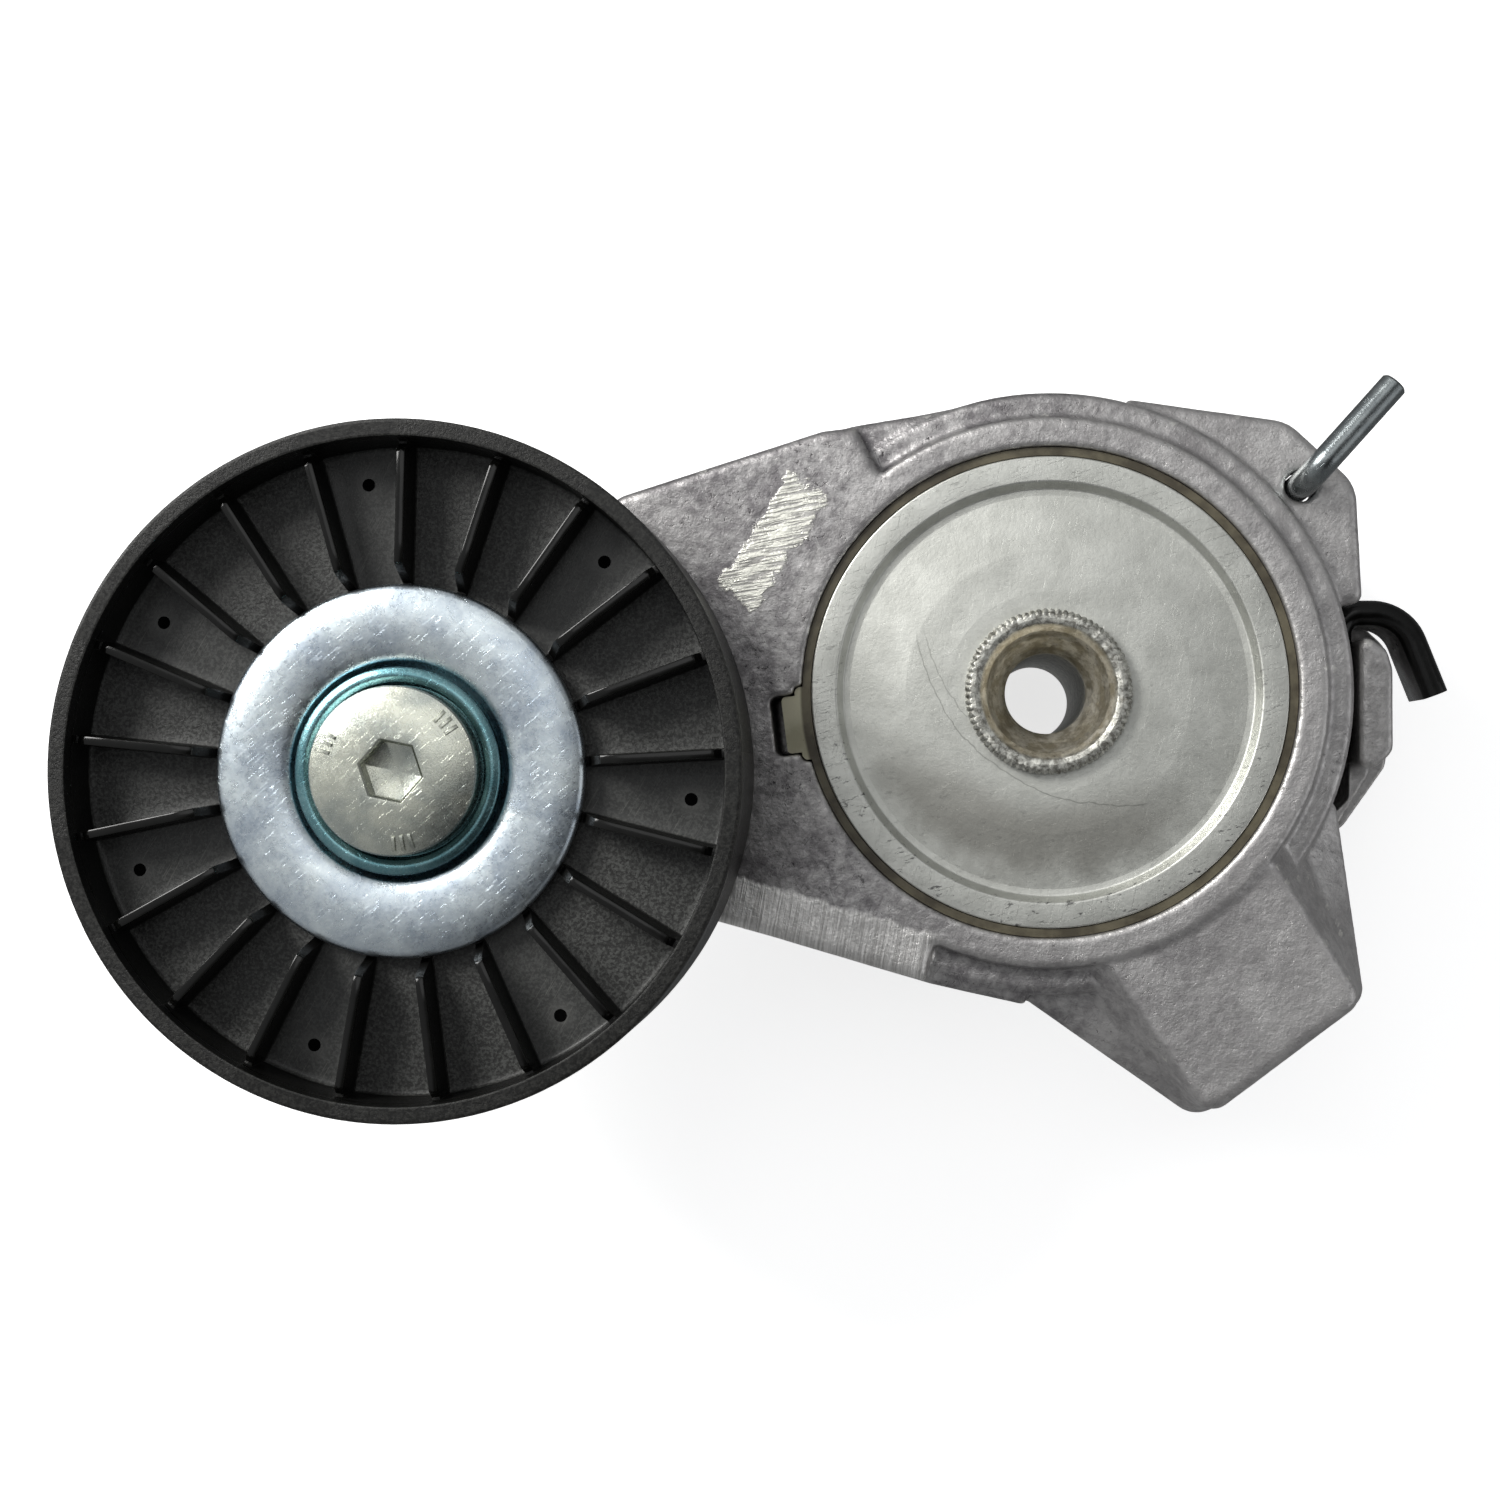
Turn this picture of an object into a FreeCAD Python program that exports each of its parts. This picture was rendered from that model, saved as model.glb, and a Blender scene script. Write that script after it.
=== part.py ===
import FreeCAD, Part
import math
import os

# Automotive accessory-belt tensioner, in millimetres.
#
# The pivot axis is +Z, towards the pulley side, and the rear mounting face is z = 0.
# +X points away from the pulley, so the arm reaches towards -X.
# A cast base and a staked steel tube carry a flat spiral spring, a cast arm turns on the
# tube, and the arm carries a ribbed nylon pulley on a deep-groove ball bearing.

Vector = FreeCAD.Vector
UP = Vector(0, 0, 1)
CENTRE = (0.0, 0.0)

# ---- driving dimensions -------------------------------------------------------------

FIT = 0.05                      # running clearance between turning parts, radial or axial

# pivot tube and its bore for an M10 mounting bolt
BORE_R = 5.5
TUBE_R = 10.4
TUBE_NECK_R = 9.5               # neck that the friction disc is staked on
TUBE_BORE_TOP = 44.0            # the narrow bore ends here and the cone begins
COLLAR_R = 11.1
COLLAR_TOP = 51.4
COLLAR_MOUTH_R = 8.9
COLLAR_TEETH = 76

# base casting
BASE_R = 42.5
BASE_WALL = 3.0
BASE_TOP = 31.2
BASE_FLOOR = 11.0               # rear side of the spring cup's floor
BASE_FLOOR_TOP = 16.0
BASE_BOSS_R = 17.0
BASE_RIBS = 9
WINDOW = (-41.0, 24.0)          # gap in the cup wall that the spring leaves through, degrees
POST_R = 48.2                   # lock post: outer radius and direction of its far face
STOP_FACE = 48.0
DOWEL_R = 4.0                   # free end
DOWEL_SEAT_R = 3.4              # end pressed into the base
DOWEL_AT = (0.0, 29.0)
DOWEL_REACH = 6.0

# spiral spring
SPRING_STRIP = 3.5
SPRING_Z = (17.2, 30.4)
SPRING_INNER_R = 18.15
SPRING_OUTER_R = 37.5
SPRING_TURNS = 3.4
SPRING_LEAVES_AT = -45.0        # where the outer coil leaves the circle, degrees
SPRING_RUN_X = 41.5             # straight run that passes between the skirt and the lug
HOOK_PATH = [(SPRING_RUN_X, 11.65, 3.0), (50.2, 11.65, 6.5), (54.7, 0.1, 0)]  # x, y, bend
SPRING_TAB_R = 13.9             # inner end of the tab in the arm's hub

# arm casting
ARM_TOP = 50.0
ARM_LEDGE = 45.6                # lower step round the ring
ARM_BACK = 36.0                 # rear face of the bar
ARM_SKIRT_BOTTOM = 31.5
ARM_RING_R = 36.9
ARM_SKIRT_R = 42.2
ARM_CAVITY_R = 38.6             # inside of the skirt
ARM_RECESS_R = 33.0
ARM_RECESS_FLOOR = 44.5
ARM_WEB_BACK = 40.5
ARM_HUB_R = 16.0
ARM_HUB_BORE_R = 12.45
ARM_ANGLE = 187.2               # direction from the pivot to the pulley, degrees
ARM_REACH = 85.0
ARM_END_R = 17.0
FLANGE_Z = (34.2, 40.6)
TRAVEL_DEG = 12.0               # arm travel from the locked position towards a loaded belt
ARM_STOP_R = (42.65, 43.9)      # travel stop that hangs under the flange
ARM_STOP_DEG = 3.6

# keyed nylon friction ring and staked friction disc
RING_LIP_R = (31.8, 32.9)
RING_FLOOR = (44.5, 46.5)
RING_INNER_R = 20.0
RING_LIP_TOP = 49.2
KEY_WIDTH = 7.7
KEY_ROOT = 1.1                  # how far the key widens on each side where it meets the lip
KEY_END_R = 35.6
KEY_SLOT_END_R = 37.1
KEY_SLOT_FLOOR = 41.4
DISC_R = 31.7
DISC_Z = (46.55, 49.5)
DISC_BAND_R = 28.2
DISC_DISH_R = 27.5

# lock pin
PIN_R = 1.85
PIN_HOLE_R = 2.15
PIN_AT_R = 44.7
PIN_ANGLE = 39.3
PIN_TIP_Z = 22.0
PIN_LEG_Z = 46.4
PIN_LEG_ANGLE = 48.3
PIN_LEG = 17.3
PIN_BEND_R = 4.2

# pulley
PULLEY_R = 45.0
PULLEY_Z = (51.5, 75.0)
PULLEY_RIM = 2.25
PULLEY_WEB = (61.4, 65.4)
PULLEY_RIBS = 21
RIB_PHASE = 3.0
RIB_THICKNESS = 1.15
RIB_DROP = 2.3                  # rib crests lie this far below the rim
HUB_R = 23.3
HUB_Z = (54.2, 66.6)
MARK_R = 37.9                   # ejector marks in every third pocket
MARK_HOLE_R = 0.75

# 6203-size bearing
BEARING_Z = (53.5, 65.5)
BEARING_BORE_R = 8.5
BEARING_R = 20.0
LAND_INNER_R = 12.25
LAND_OUTER_R = 16.3
BALL_R = 3.3735
BALL_PITCH_R = 14.25
BALLS = 8

# pulley bolt and dust shields
SHIELD_T = 0.8
SHIELD_R = 24.3
SHIELD_TOP = 69.8
SHIELD_SHOULDER_R = 14.5
BOLT_HEAD_R = 10.95
BOLT_HEAD_Z = (67.5, 74.5)
WASHER_R = 13.3                 # cup washer whose rim rises round the bolt's head
WASHER_TOP = 70.7
BOLT_R = 5.0
BOLT_TIP = 38.5
HEX_ACROSS_FLATS = 7.0
HEX_DEPTH = 3.6
HEX_TIP_DEPTH = 0.9             # drill point under the socket's floor
HEX_CORNER_AT = 48.5            # direction of one corner, degrees

# ---- small tools --------------------------------------------------------------------


def polar(radius, degrees, centre=CENTRE):
    """Point at that radius and direction from a centre."""
    angle = math.radians(degrees)
    return (centre[0] + radius * math.cos(angle), centre[1] + radius * math.sin(angle))


PULLEY_AT = polar(ARM_REACH, ARM_ANGLE)
SPRING_TAB_ANGLE = SPRING_LEAVES_AT - 360 * SPRING_TURNS + 2.5
PIN_AT = polar(PIN_AT_R, PIN_ANGLE)


def disc(radius, z, at=CENTRE):
    """Upright cylinder between two heights."""
    return Part.makeCylinder(radius, z[1] - z[0], Vector(at[0], at[1], z[0]), UP)


def ring(outer, inner, z, at=CENTRE):
    return disc(outer, z, at).cut(disc(inner, (z[0] - 1, z[1] + 1), at))


def lathe(profile, at=CENTRE):
    """Solid of revolution from (radius, height) corners."""
    points = [Vector(r, 0, z) for r, z in profile]
    face = Part.Face(Part.makePolygon(points + points[:1]))
    solid = face.revolve(Vector(0, 0, 0), UP, 360)
    solid.translate(Vector(at[0], at[1], 0))
    return solid


def outline(corners, z=0.0):
    """Closed wire through (x, y, corner radius) corners, each corner an arc of its radius."""
    edges = []
    starts, ends, middles = [], [], []
    count = len(corners)
    for i, (x, y, radius) in enumerate(corners):
        here = Vector(x, y, z)
        before = Vector(corners[i - 1][0], corners[i - 1][1], z)
        after = Vector(corners[(i + 1) % count][0], corners[(i + 1) % count][1], z)
        back = (before - here).normalize()
        ahead = (after - here).normalize()
        if radius == 0:
            starts.append(here)
            ends.append(here)
            middles.append(None)
            continue
        half = back.getAngle(ahead) / 2
        tangent = radius / math.tan(half)
        bisector = (back + ahead).normalize()
        centre = here + bisector * (radius / math.sin(half))
        starts.append(here + back * tangent)
        ends.append(here + ahead * tangent)
        middles.append(centre - bisector * radius)
    for i in range(count):
        if middles[i] is not None:
            edges.append(Part.Arc(starts[i], middles[i], ends[i]).toShape())
        following = starts[(i + 1) % count]
        if (following - ends[i]).Length > 1e-6:
            edges.append(Part.LineSegment(ends[i], following).toShape())
    return Part.Wire(edges)


def prism(corners, z):
    """Upright solid with that rounded outline."""
    return Part.Face(outline(corners, z[0])).extrude(Vector(0, 0, z[1] - z[0]))


def sector(outer, inner, degrees, z, at=CENTRE):
    """Part of a ring between two directions."""
    start, end = degrees
    piece = Part.makeCylinder(outer, z[1] - z[0], Vector(at[0], at[1], z[0]), UP, end - start)
    piece.rotate(Vector(at[0], at[1], 0), UP, start)
    return piece.cut(disc(inner, (z[0] - 1, z[1] + 1), at))


def bar(length, width, z, start, degrees, at=CENTRE):
    """Upright plate that starts at a radius and runs outwards in that direction."""
    plate = Part.makeBox(length, width, z[1] - z[0], Vector(start, -width / 2, z[0]))
    plate.rotate(Vector(0, 0, 0), UP, degrees)
    plate.translate(Vector(at[0], at[1], 0))
    return plate


def around(count, phase=0.0):
    return [phase + 360.0 * i / count for i in range(count)]


def strip(path, thickness, z):
    """Flat strip on edge along (x, y, bend radius) points."""
    half = thickness / 2
    left, right = [], []
    for i, (x, y, radius) in enumerate(path):
        here = Vector(x, y, 0)
        ahead = Vector(*path[min(i + 1, len(path) - 1)][:2], 0) - here
        back = here - Vector(*path[max(i - 1, 0)][:2], 0)
        ahead = (ahead if ahead.Length > 0 else back).normalize()
        back = (back if back.Length > 0 else ahead).normalize()
        side = UP.cross((ahead + back).normalize())
        reach = half / side.dot(UP.cross(ahead))
        turn = back.cross(ahead).z
        grow = 0 if radius == 0 else math.copysign(half, turn)
        left.append((*(here + side * reach)[:2], radius - grow))
        right.append((*(here - side * reach)[:2], radius + grow))
    return prism(left + right[::-1], z)


def round_edges(shape, radius, chosen):
    """Fillets the edges that a test picks."""
    edges = [e for e in shape.Edges if chosen(e)]
    return shape.makeFillet(radius, edges)


def level_edge(edge, height):
    """True for an edge that lies wholly at one height."""
    box = edge.BoundBox
    return abs(box.ZMin - height) < 1e-4 and abs(box.ZMax - height) < 1e-4


def upright_edge(edge, z):
    """True for an edge that runs the whole way between two heights."""
    return abs(edge.BoundBox.ZLength - (z[1] - z[0])) < 1e-4


def reach_of(edge):
    """Distance of an edge's middle from the pivot axis."""
    return math.hypot(edge.CenterOfMass.x, edge.CenterOfMass.y)


# ---- base body ----------------------------------------------------------------------


def base_housing():
    cup = ring(BASE_R, BASE_R - BASE_WALL, (0, BASE_TOP))
    floor = disc(BASE_R - 0.5, (BASE_FLOOR, BASE_FLOOR_TOP))
    boss = disc(BASE_BOSS_R, (0, BASE_FLOOR_TOP))
    body = cup.fuse([floor, boss])
    for angle in around(BASE_RIBS, 30):
        body = body.fuse(bar(BASE_R - BASE_BOSS_R, 2.6, (2.0, BASE_FLOOR), BASE_BOSS_R - 1, angle))
    body = body.fuse(disc(DOWEL_R + 4.5, (0, BASE_FLOOR_TOP), DOWEL_AT))
    # window in the wall where the spring's outer end leaves the cup
    window_z = (BASE_FLOOR_TOP, BASE_TOP + 1)
    body = body.cut(sector(BASE_R + 3, BASE_R - BASE_WALL - 1, WINDOW, window_z))
    # foot and lug that the spring hooks over
    foot = prism([(36, -24, 0), (44.2, -18.5, 3), (50.4, -9.6, 3), (50.4, 7.5, 3), (44, 13.5, 3),
                  (36, 13.5, 0)], (0, 16))
    lug = prism([(43.5, -9.8, 1.0), (43.5, 9.2, 1.2), (47.4, 6.3, 1.2), (48.2, 3.6, 1.2),
                 (48.2, -7.8, 2.0), (45.6, -10.4, 2.0)], (10, 33.4))
    lug = round_edges(lug, 0.8, lambda e: level_edge(e, 33.4))
    heel = prism([(38, -22, 0), (42.6, -17.4, 2), (46.6, -10.6, 2), (46.6, -8, 0), (43.5, -8, 0),
                  (43.5, -14.5, 2), (39.5, -18, 0)], (10, 24))
    body = body.fuse([foot, lug, heel])
    # post that the lock pin bears on, and that the arm's stop reaches at full travel
    pin_half = math.degrees((PIN_R + FIT) / PIN_AT_R)
    post_span = (PIN_ANGLE + pin_half, STOP_FACE)
    post = sector(POST_R, BASE_R - 1.5, post_span, (0, BASE_TOP))
    post_head = sector(POST_R, BASE_R + 0.5, post_span, (BASE_TOP - 1, 33.4))
    body = body.fuse([post, post_head])
    body = body.cut(disc(TUBE_R, (-1, BASE_FLOOR_TOP + 1)))
    body = body.cut(disc(DOWEL_SEAT_R, (-1, 12), DOWEL_AT))
    return body.removeSplitter()


def pivot_tube():
    body = lathe([(BORE_R, 0), (TUBE_R - 0.4, 0), (TUBE_R, 0.4),
                  (TUBE_R, DISC_Z[0]), (TUBE_NECK_R, DISC_Z[0]), (TUBE_NECK_R, DISC_Z[1] - 0.75),
                  (COLLAR_R, DISC_Z[1] - 0.75), (COLLAR_R, COLLAR_TOP - 0.9),
                  (COLLAR_R - 0.8, COLLAR_TOP), (COLLAR_MOUTH_R + 0.5, COLLAR_TOP),
                  (COLLAR_MOUTH_R - 0.2, COLLAR_TOP - 0.7), (7.6, 47.4), (6.6, TUBE_BORE_TOP + 0.4),
                  (BORE_R, TUBE_BORE_TOP)])
    notch = Part.makeCylinder(0.24, 6, Vector(COLLAR_R + 0.06, 0, DISC_Z[1] - 0.74), UP)
    notches = []
    for angle in around(COLLAR_TEETH):
        cutter = notch.copy()
        cutter.rotate(Vector(0, 0, 0), UP, angle)
        notches.append(cutter)
    return body.cut(notches)


def cover_disc():
    low, high = DISC_Z
    dish = high - 0.75
    return lathe([(TUBE_NECK_R, low), (DISC_R, low), (DISC_R, high - 0.4), (DISC_R - 0.4, high),
                  (DISC_BAND_R + 0.3, high), (DISC_BAND_R, high - 0.2), (DISC_DISH_R, dish - 0.25),
                  (DISC_DISH_R - 0.8, dish - 0.1), (18.0, dish), (13.5, dish + 0.1),
                  (COLLAR_R + 0.3, dish), (TUBE_NECK_R, dish)])


def locating_dowel():
    top = 11.9
    return lathe([(0, -DOWEL_REACH), (DOWEL_R - 0.8, -DOWEL_REACH), (DOWEL_R, -DOWEL_REACH + 1.2),
                  (DOWEL_R, 0), (DOWEL_SEAT_R, 0), (DOWEL_SEAT_R, top - 0.5),
                  (DOWEL_SEAT_R - 0.5, top), (0, top)], DOWEL_AT)


def thrust_washer():
    return ring(ARM_HUB_R + 0.5, TUBE_R + FIT, (BASE_FLOOR_TOP, BASE_FLOOR_TOP + 1.0))


def spiral_spring():
    """Flat strip wound on edge: a tab in the arm's hub, the coils, then the hook over the lug."""
    half = SPRING_STRIP / 2
    steps = 24
    count = int(SPRING_TURNS * steps)

    def edge_curve(offset):
        points = []
        for i in range(count + 1):
            share = i / count
            radius = SPRING_INNER_R + (SPRING_OUTER_R - SPRING_INNER_R) * share
            angle = SPRING_LEAVES_AT - 360 * SPRING_TURNS * (1 - share)
            points.append(Vector(*polar(radius + offset, angle), SPRING_Z[0]))
        curve = Part.BSplineCurve()
        curve.interpolate(points)
        return curve.toShape(), points

    outer, outer_points = edge_curve(half)
    inner, inner_points = edge_curve(-half)
    start = Part.LineSegment(inner_points[0], outer_points[0]).toShape()
    end = Part.LineSegment(outer_points[-1], inner_points[-1]).toShape()
    width = SPRING_Z[1] - SPRING_Z[0]
    coils = Part.Face(Part.Wire([start, outer, end, inner])).extrude(Vector(0, 0, width))
    leaves = polar(SPRING_OUTER_R, SPRING_LEAVES_AT)
    turns_straight = leaves[1] + SPRING_RUN_X - leaves[0]
    hook = strip([(leaves[0] - 0.3, leaves[1] - 0.3, 0), (SPRING_RUN_X, turns_straight, 18),
                  *HOOK_PATH], SPRING_STRIP, SPRING_Z)
    tab = bar(SPRING_INNER_R - SPRING_TAB_R + half, SPRING_STRIP - 0.3, SPRING_Z, SPRING_TAB_R,
              SPRING_TAB_ANGLE)
    return coils.fuse([hook, tab]).removeSplitter()


# ---- arm body -----------------------------------------------------------------------

BLOCK_TOP_CORNERS = [(2.0, -26.0, 1), (6.9, -35.6, 1.5), (21.1, -56.7, 2.6), (41.4, -41.0, 2.6),
                     (30.0, -22.5, 1.5), (20.0, -12.0, 1)]
BLOCK_FOOT_CORNERS = [(-8.0, -28.0, 1), (-4.2, -41.0, 1.5), (20.6, -58.3, 4.0), (43.1, -41.6, 3.2),
                      (39.4, -15.0, 1.5), (24.0, -10.0, 1)]
BLOCK_FOOT_Z = 39.0
BLOCK_WAIST = (42.6, 0.6)       # height, and how far the flanks have drawn in by there
BLOCK_TOP = ARM_TOP - 0.5


def inset(corners, distance):
    """The same outline with every side moved inwards."""
    moved = []
    for i, (x, y, radius) in enumerate(corners):
        here = Vector(x, y, 0)
        back = (here - Vector(*corners[i - 1][:2], 0)).normalize()
        ahead = (Vector(*corners[(i + 1) % len(corners)][:2], 0) - here).normalize()
        side = UP.cross((ahead + back).normalize())
        shift = side * (distance / side.dot(UP.cross(ahead)))
        moved.append((here.x + shift.x, here.y + shift.y, max(radius - distance, radius * 0.4)))
    return moved


def block():
    """Square pry lug with hollow flanks that flare down to the skirt and a rounded top edge."""
    height, share = BLOCK_WAIST
    waist = [tuple(a + (b - a) * share for a, b in zip(foot, top))
             for foot, top in zip(BLOCK_FOOT_CORNERS, BLOCK_TOP_CORNERS)]
    steps = [(BLOCK_FOOT_CORNERS, 0.0, BLOCK_FOOT_Z), (waist, 0.0, height),
             (BLOCK_TOP_CORNERS, -0.1, BLOCK_TOP - 1.1), (BLOCK_TOP_CORNERS, 0.3, BLOCK_TOP - 0.35),
             (BLOCK_TOP_CORNERS, 1.1, BLOCK_TOP)]
    wires = [outline(inset(corners, distance), z) for corners, distance, z in steps]
    flare = Part.makeLoft(wires, True, True)
    return flare.fuse(prism(BLOCK_FOOT_CORNERS, (ARM_BACK, BLOCK_FOOT_Z)))


def tangent_point(start, centre, radius, side):
    """Where a line from start touches a circle; side is +1 or -1."""
    dx, dy = centre[0] - start[0], centre[1] - start[1]
    distance = math.hypot(dx, dy)
    swing = math.degrees(math.acos(radius / distance))
    towards = math.degrees(math.atan2(-dy, -dx))
    return polar(radius, towards + side * swing, centre)


def arm_bar(near_hub_top, near_hub_bottom, z):
    """Bar from the hub to the round end under the pulley."""
    top, bottom = (-57.5, 27.0), (-44.5, -31.0)
    lead_in = polar(ARM_END_R, ARM_ANGLE, PULLEY_AT)
    upper = tangent_point(top, PULLEY_AT, ARM_END_R, 1)
    lower = tangent_point(bottom, PULLEY_AT, ARM_END_R, -1)
    points = [Vector(x, y, z[0]) for x, y in near_hub_bottom + near_hub_top + [top, upper]]
    edges = [Part.LineSegment(a, b).toShape() for a, b in zip(points, points[1:])]
    low = Vector(*lower, z[0])
    edges.append(Part.Arc(points[-1], Vector(*lead_in, z[0]), low).toShape())
    foot = Vector(*bottom, z[0])
    edges.append(Part.LineSegment(low, foot).toShape())
    edges.append(Part.LineSegment(foot, points[0]).toShape())
    return Part.Face(Part.Wire(edges)).extrude(Vector(0, 0, z[1] - z[0]))


def key_root(widening, z, reach):
    """Wider foot of the ring's key, or of its slot, with rounded corners on the outside."""
    foot = bar(4.0, KEY_WIDTH + 2 * widening, z, reach - 4.0, ARM_ANGLE)
    return round_edges(foot, 0.8, lambda e: upright_edge(e, z) and reach_of(e) > reach - 1)


def arm():
    skirt = ARM_SKIRT_R
    hub_end = BASE_FLOOR_TOP + 1.0 + FIT
    hub = lathe([(ARM_HUB_BORE_R, hub_end), (ARM_HUB_R - 0.5, hub_end), (ARM_HUB_R, hub_end + 0.5),
                 (ARM_HUB_R, ARM_WEB_BACK), (ARM_CAVITY_R - 0.4, ARM_WEB_BACK),
                 (ARM_CAVITY_R, ARM_SKIRT_BOTTOM), (skirt - 0.4, ARM_SKIRT_BOTTOM),
                 (skirt, ARM_SKIRT_BOTTOM + 0.4), (skirt - 1.3, ARM_LEDGE - 1.0),
                 (skirt - 1.7, ARM_LEDGE - 0.2), (skirt - 2.2, ARM_LEDGE), (ARM_RING_R + 1.3, ARM_LEDGE),
                 (ARM_RING_R + 0.6, ARM_LEDGE + 0.3), (ARM_RING_R + 0.3, ARM_LEDGE + 1.0),
                 (ARM_RING_R, ARM_TOP - 0.5), (ARM_RING_R - 0.15, ARM_TOP - 0.15),
                 (ARM_RING_R - 0.5, ARM_TOP), (ARM_HUB_BORE_R, ARM_TOP)])
    # bar: its upper part stops short of the ring's ledge, its lower part runs into it
    upper = arm_bar([(-12.0, 26.0), (-22.6, 30.0), (-25.6, 35.9), (-30.1, 35.5)],
                    [(-35.8, -33.4), (-16.4, -38.9), (-15.4, -34.6), (-10.0, -24.0)],
                    (ARM_BACK, ARM_TOP))
    upper = round_edges(upper, 1.2, lambda e: level_edge(e, ARM_TOP) or level_edge(e, ARM_BACK))
    lower = arm_bar([(-4.0, 30.0), (-9.0, 39.7), (-17.0, 38.2), (-25.6, 36.9), (-30.1, 35.9)],
                    [(-35.8, -33.8), (-15.8, -39.6), (-3.0, -42.4), (2.0, -30.0)],
                    (ARM_BACK, ARM_LEDGE - 0.6))
    lower = round_edges(lower, 1.2, lambda e: level_edge(e, ARM_LEDGE - 0.6))
    flange = prism([(8.0, 30.0, 0), (11.5, 40.6, 0), (33.0, 37.2, 6), (42.1, 28.5, 6),
                    (42.9, 12.4, 1.2), (36.0, 11.5, 0)], FLANGE_Z)
    flange = round_edges(flange, 1.2, lambda e: any(level_edge(e, z) for z in FLANGE_Z))
    pad = disc(5.2, FLANGE_Z, PIN_AT)
    body = hub.fuse([upper, lower, flange, pad, block()])
    # travel stop under the flange, clear of the cup's wall
    stop_inner, stop_outer = ARM_STOP_R
    stop_face = STOP_FACE + TRAVEL_DEG + 0.4
    body = body.fuse(sector(stop_outer, 41.2, (stop_face, stop_face + ARM_STOP_DEG), (28.6, 36.5)))
    body = body.cut(sector(stop_inner, 40.0, (stop_face - 3, stop_face + ARM_STOP_DEG + 3),
                           (27.0, ARM_SKIRT_BOTTOM)))
    # spring cavity, cleared through everything that was added to the hub
    cavity = lathe([(ARM_HUB_R, 10), (ARM_CAVITY_R, 10), (ARM_CAVITY_R, ARM_SKIRT_BOTTOM),
                    (ARM_CAVITY_R - 0.4, ARM_WEB_BACK), (ARM_HUB_R, ARM_WEB_BACK)])
    body = body.cut(cavity)
    for angle in around(8, 20):
        rib = bar(ARM_CAVITY_R + 0.4 - ARM_HUB_R, 2.4, (34.0, ARM_WEB_BACK + 0.5),
                  ARM_HUB_R - 0.3, angle)
        body = body.fuse(rib)
    # recess for the friction ring and disc, with the key slot, and the pivot bore
    body = body.cut(disc(ARM_RECESS_R, (ARM_RECESS_FLOOR, ARM_TOP + 20)))
    slot_z = (KEY_SLOT_FLOOR, ARM_TOP + 1)
    slot = bar(KEY_SLOT_END_R - 30, KEY_WIDTH + 0.4, slot_z, 30, ARM_ANGLE)
    slot = round_edges(slot, 0.9, lambda e: upright_edge(e, slot_z))
    body = body.cut([slot, key_root(KEY_ROOT + 0.2, slot_z, ARM_RECESS_R + 0.9)])
    body = body.cut(disc(ARM_HUB_BORE_R, (0, 60)))
    # slot in the hub for the spring's inner tab
    body = body.cut(bar(6, SPRING_STRIP + 0.2, (10, SPRING_Z[1] + 1), SPRING_TAB_R - 0.3,
                        SPRING_TAB_ANGLE))
    body = body.cut(disc(PIN_HOLE_R, (20, 60), PIN_AT))
    # hollow back of the bar, leaving a rib down its middle
    body = body.cut([rear_hollow(1), rear_hollow(-1)])
    # post and pilot for the bearing, with the tapped hole for its bolt
    seat = BEARING_Z[0] - SHIELD_T
    post = lathe([(BOLT_R + FIT, ARM_TOP - 2), (12.6, ARM_TOP - 2), (12.6, ARM_TOP + 0.4),
                  (11.6, ARM_TOP + 1.4), (11.6, seat), (BEARING_BORE_R - 0.02, seat),
                  (BEARING_BORE_R - 0.02, 61.5), (BEARING_BORE_R - 0.6, 62),
                  (BOLT_R + FIT, 62)], PULLEY_AT)
    body = body.fuse(post)
    body = body.cut(disc(BOLT_R + FIT, (BOLT_TIP - 1.5, 80), PULLEY_AT))
    return body.removeSplitter()


def rear_hollow(side):
    """Pocket in the back of the bar, one each side of its middle rib."""
    corners = [(-44.5, 2.0, 2), (-44.5, 24.0, 3), (-60.5, 21.0, 3), (-68.0, 9.0, 3),
               (-66.0, 2.0, 2)]
    if side < 0:
        corners = [(x, -y, radius) for x, y, radius in corners]
    pocket = prism(corners, (ARM_BACK - 1, ARM_TOP - 4.0))
    pocket.rotate(Vector(0, 0, 0), UP, ARM_ANGLE - 180)
    return pocket


def pivot_bushing():
    low = BASE_FLOOR_TOP + 1.0 + 2 * FIT
    return ring(ARM_HUB_BORE_R - 0.02, TUBE_R + FIT, (low, ARM_RECESS_FLOOR - 0.1))


def friction_ring():
    lip_in, lip_out = RING_LIP_R
    body = lathe([(RING_INNER_R, RING_FLOOR[0]), (lip_out, RING_FLOOR[0]), (lip_out, RING_LIP_TOP),
                  (lip_in, RING_LIP_TOP), (lip_in, RING_FLOOR[1]), (RING_INNER_R, RING_FLOOR[1])])
    key_z = (RING_FLOOR[0], RING_LIP_TOP)
    start = lip_out - 0.4
    key = bar(KEY_END_R - start, KEY_WIDTH, key_z, start, ARM_ANGLE)
    key = round_edges(key, 0.6, lambda e: upright_edge(e, key_z) and reach_of(e) > KEY_END_R - 1)
    root = key_root(KEY_ROOT, key_z, ARM_RECESS_R + 0.7).cut(disc(lip_out - 0.4, (40, 60)))
    return body.fuse([key, root]).removeSplitter()


def bearing_inner_ring():
    middle = sum(BEARING_Z) / 2
    body = ring(LAND_INNER_R, BEARING_BORE_R, BEARING_Z, PULLEY_AT)
    groove = Part.makeTorus(BALL_PITCH_R, BALL_R + FIT, Vector(*PULLEY_AT, middle), UP)
    return body.cut(groove)


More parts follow.
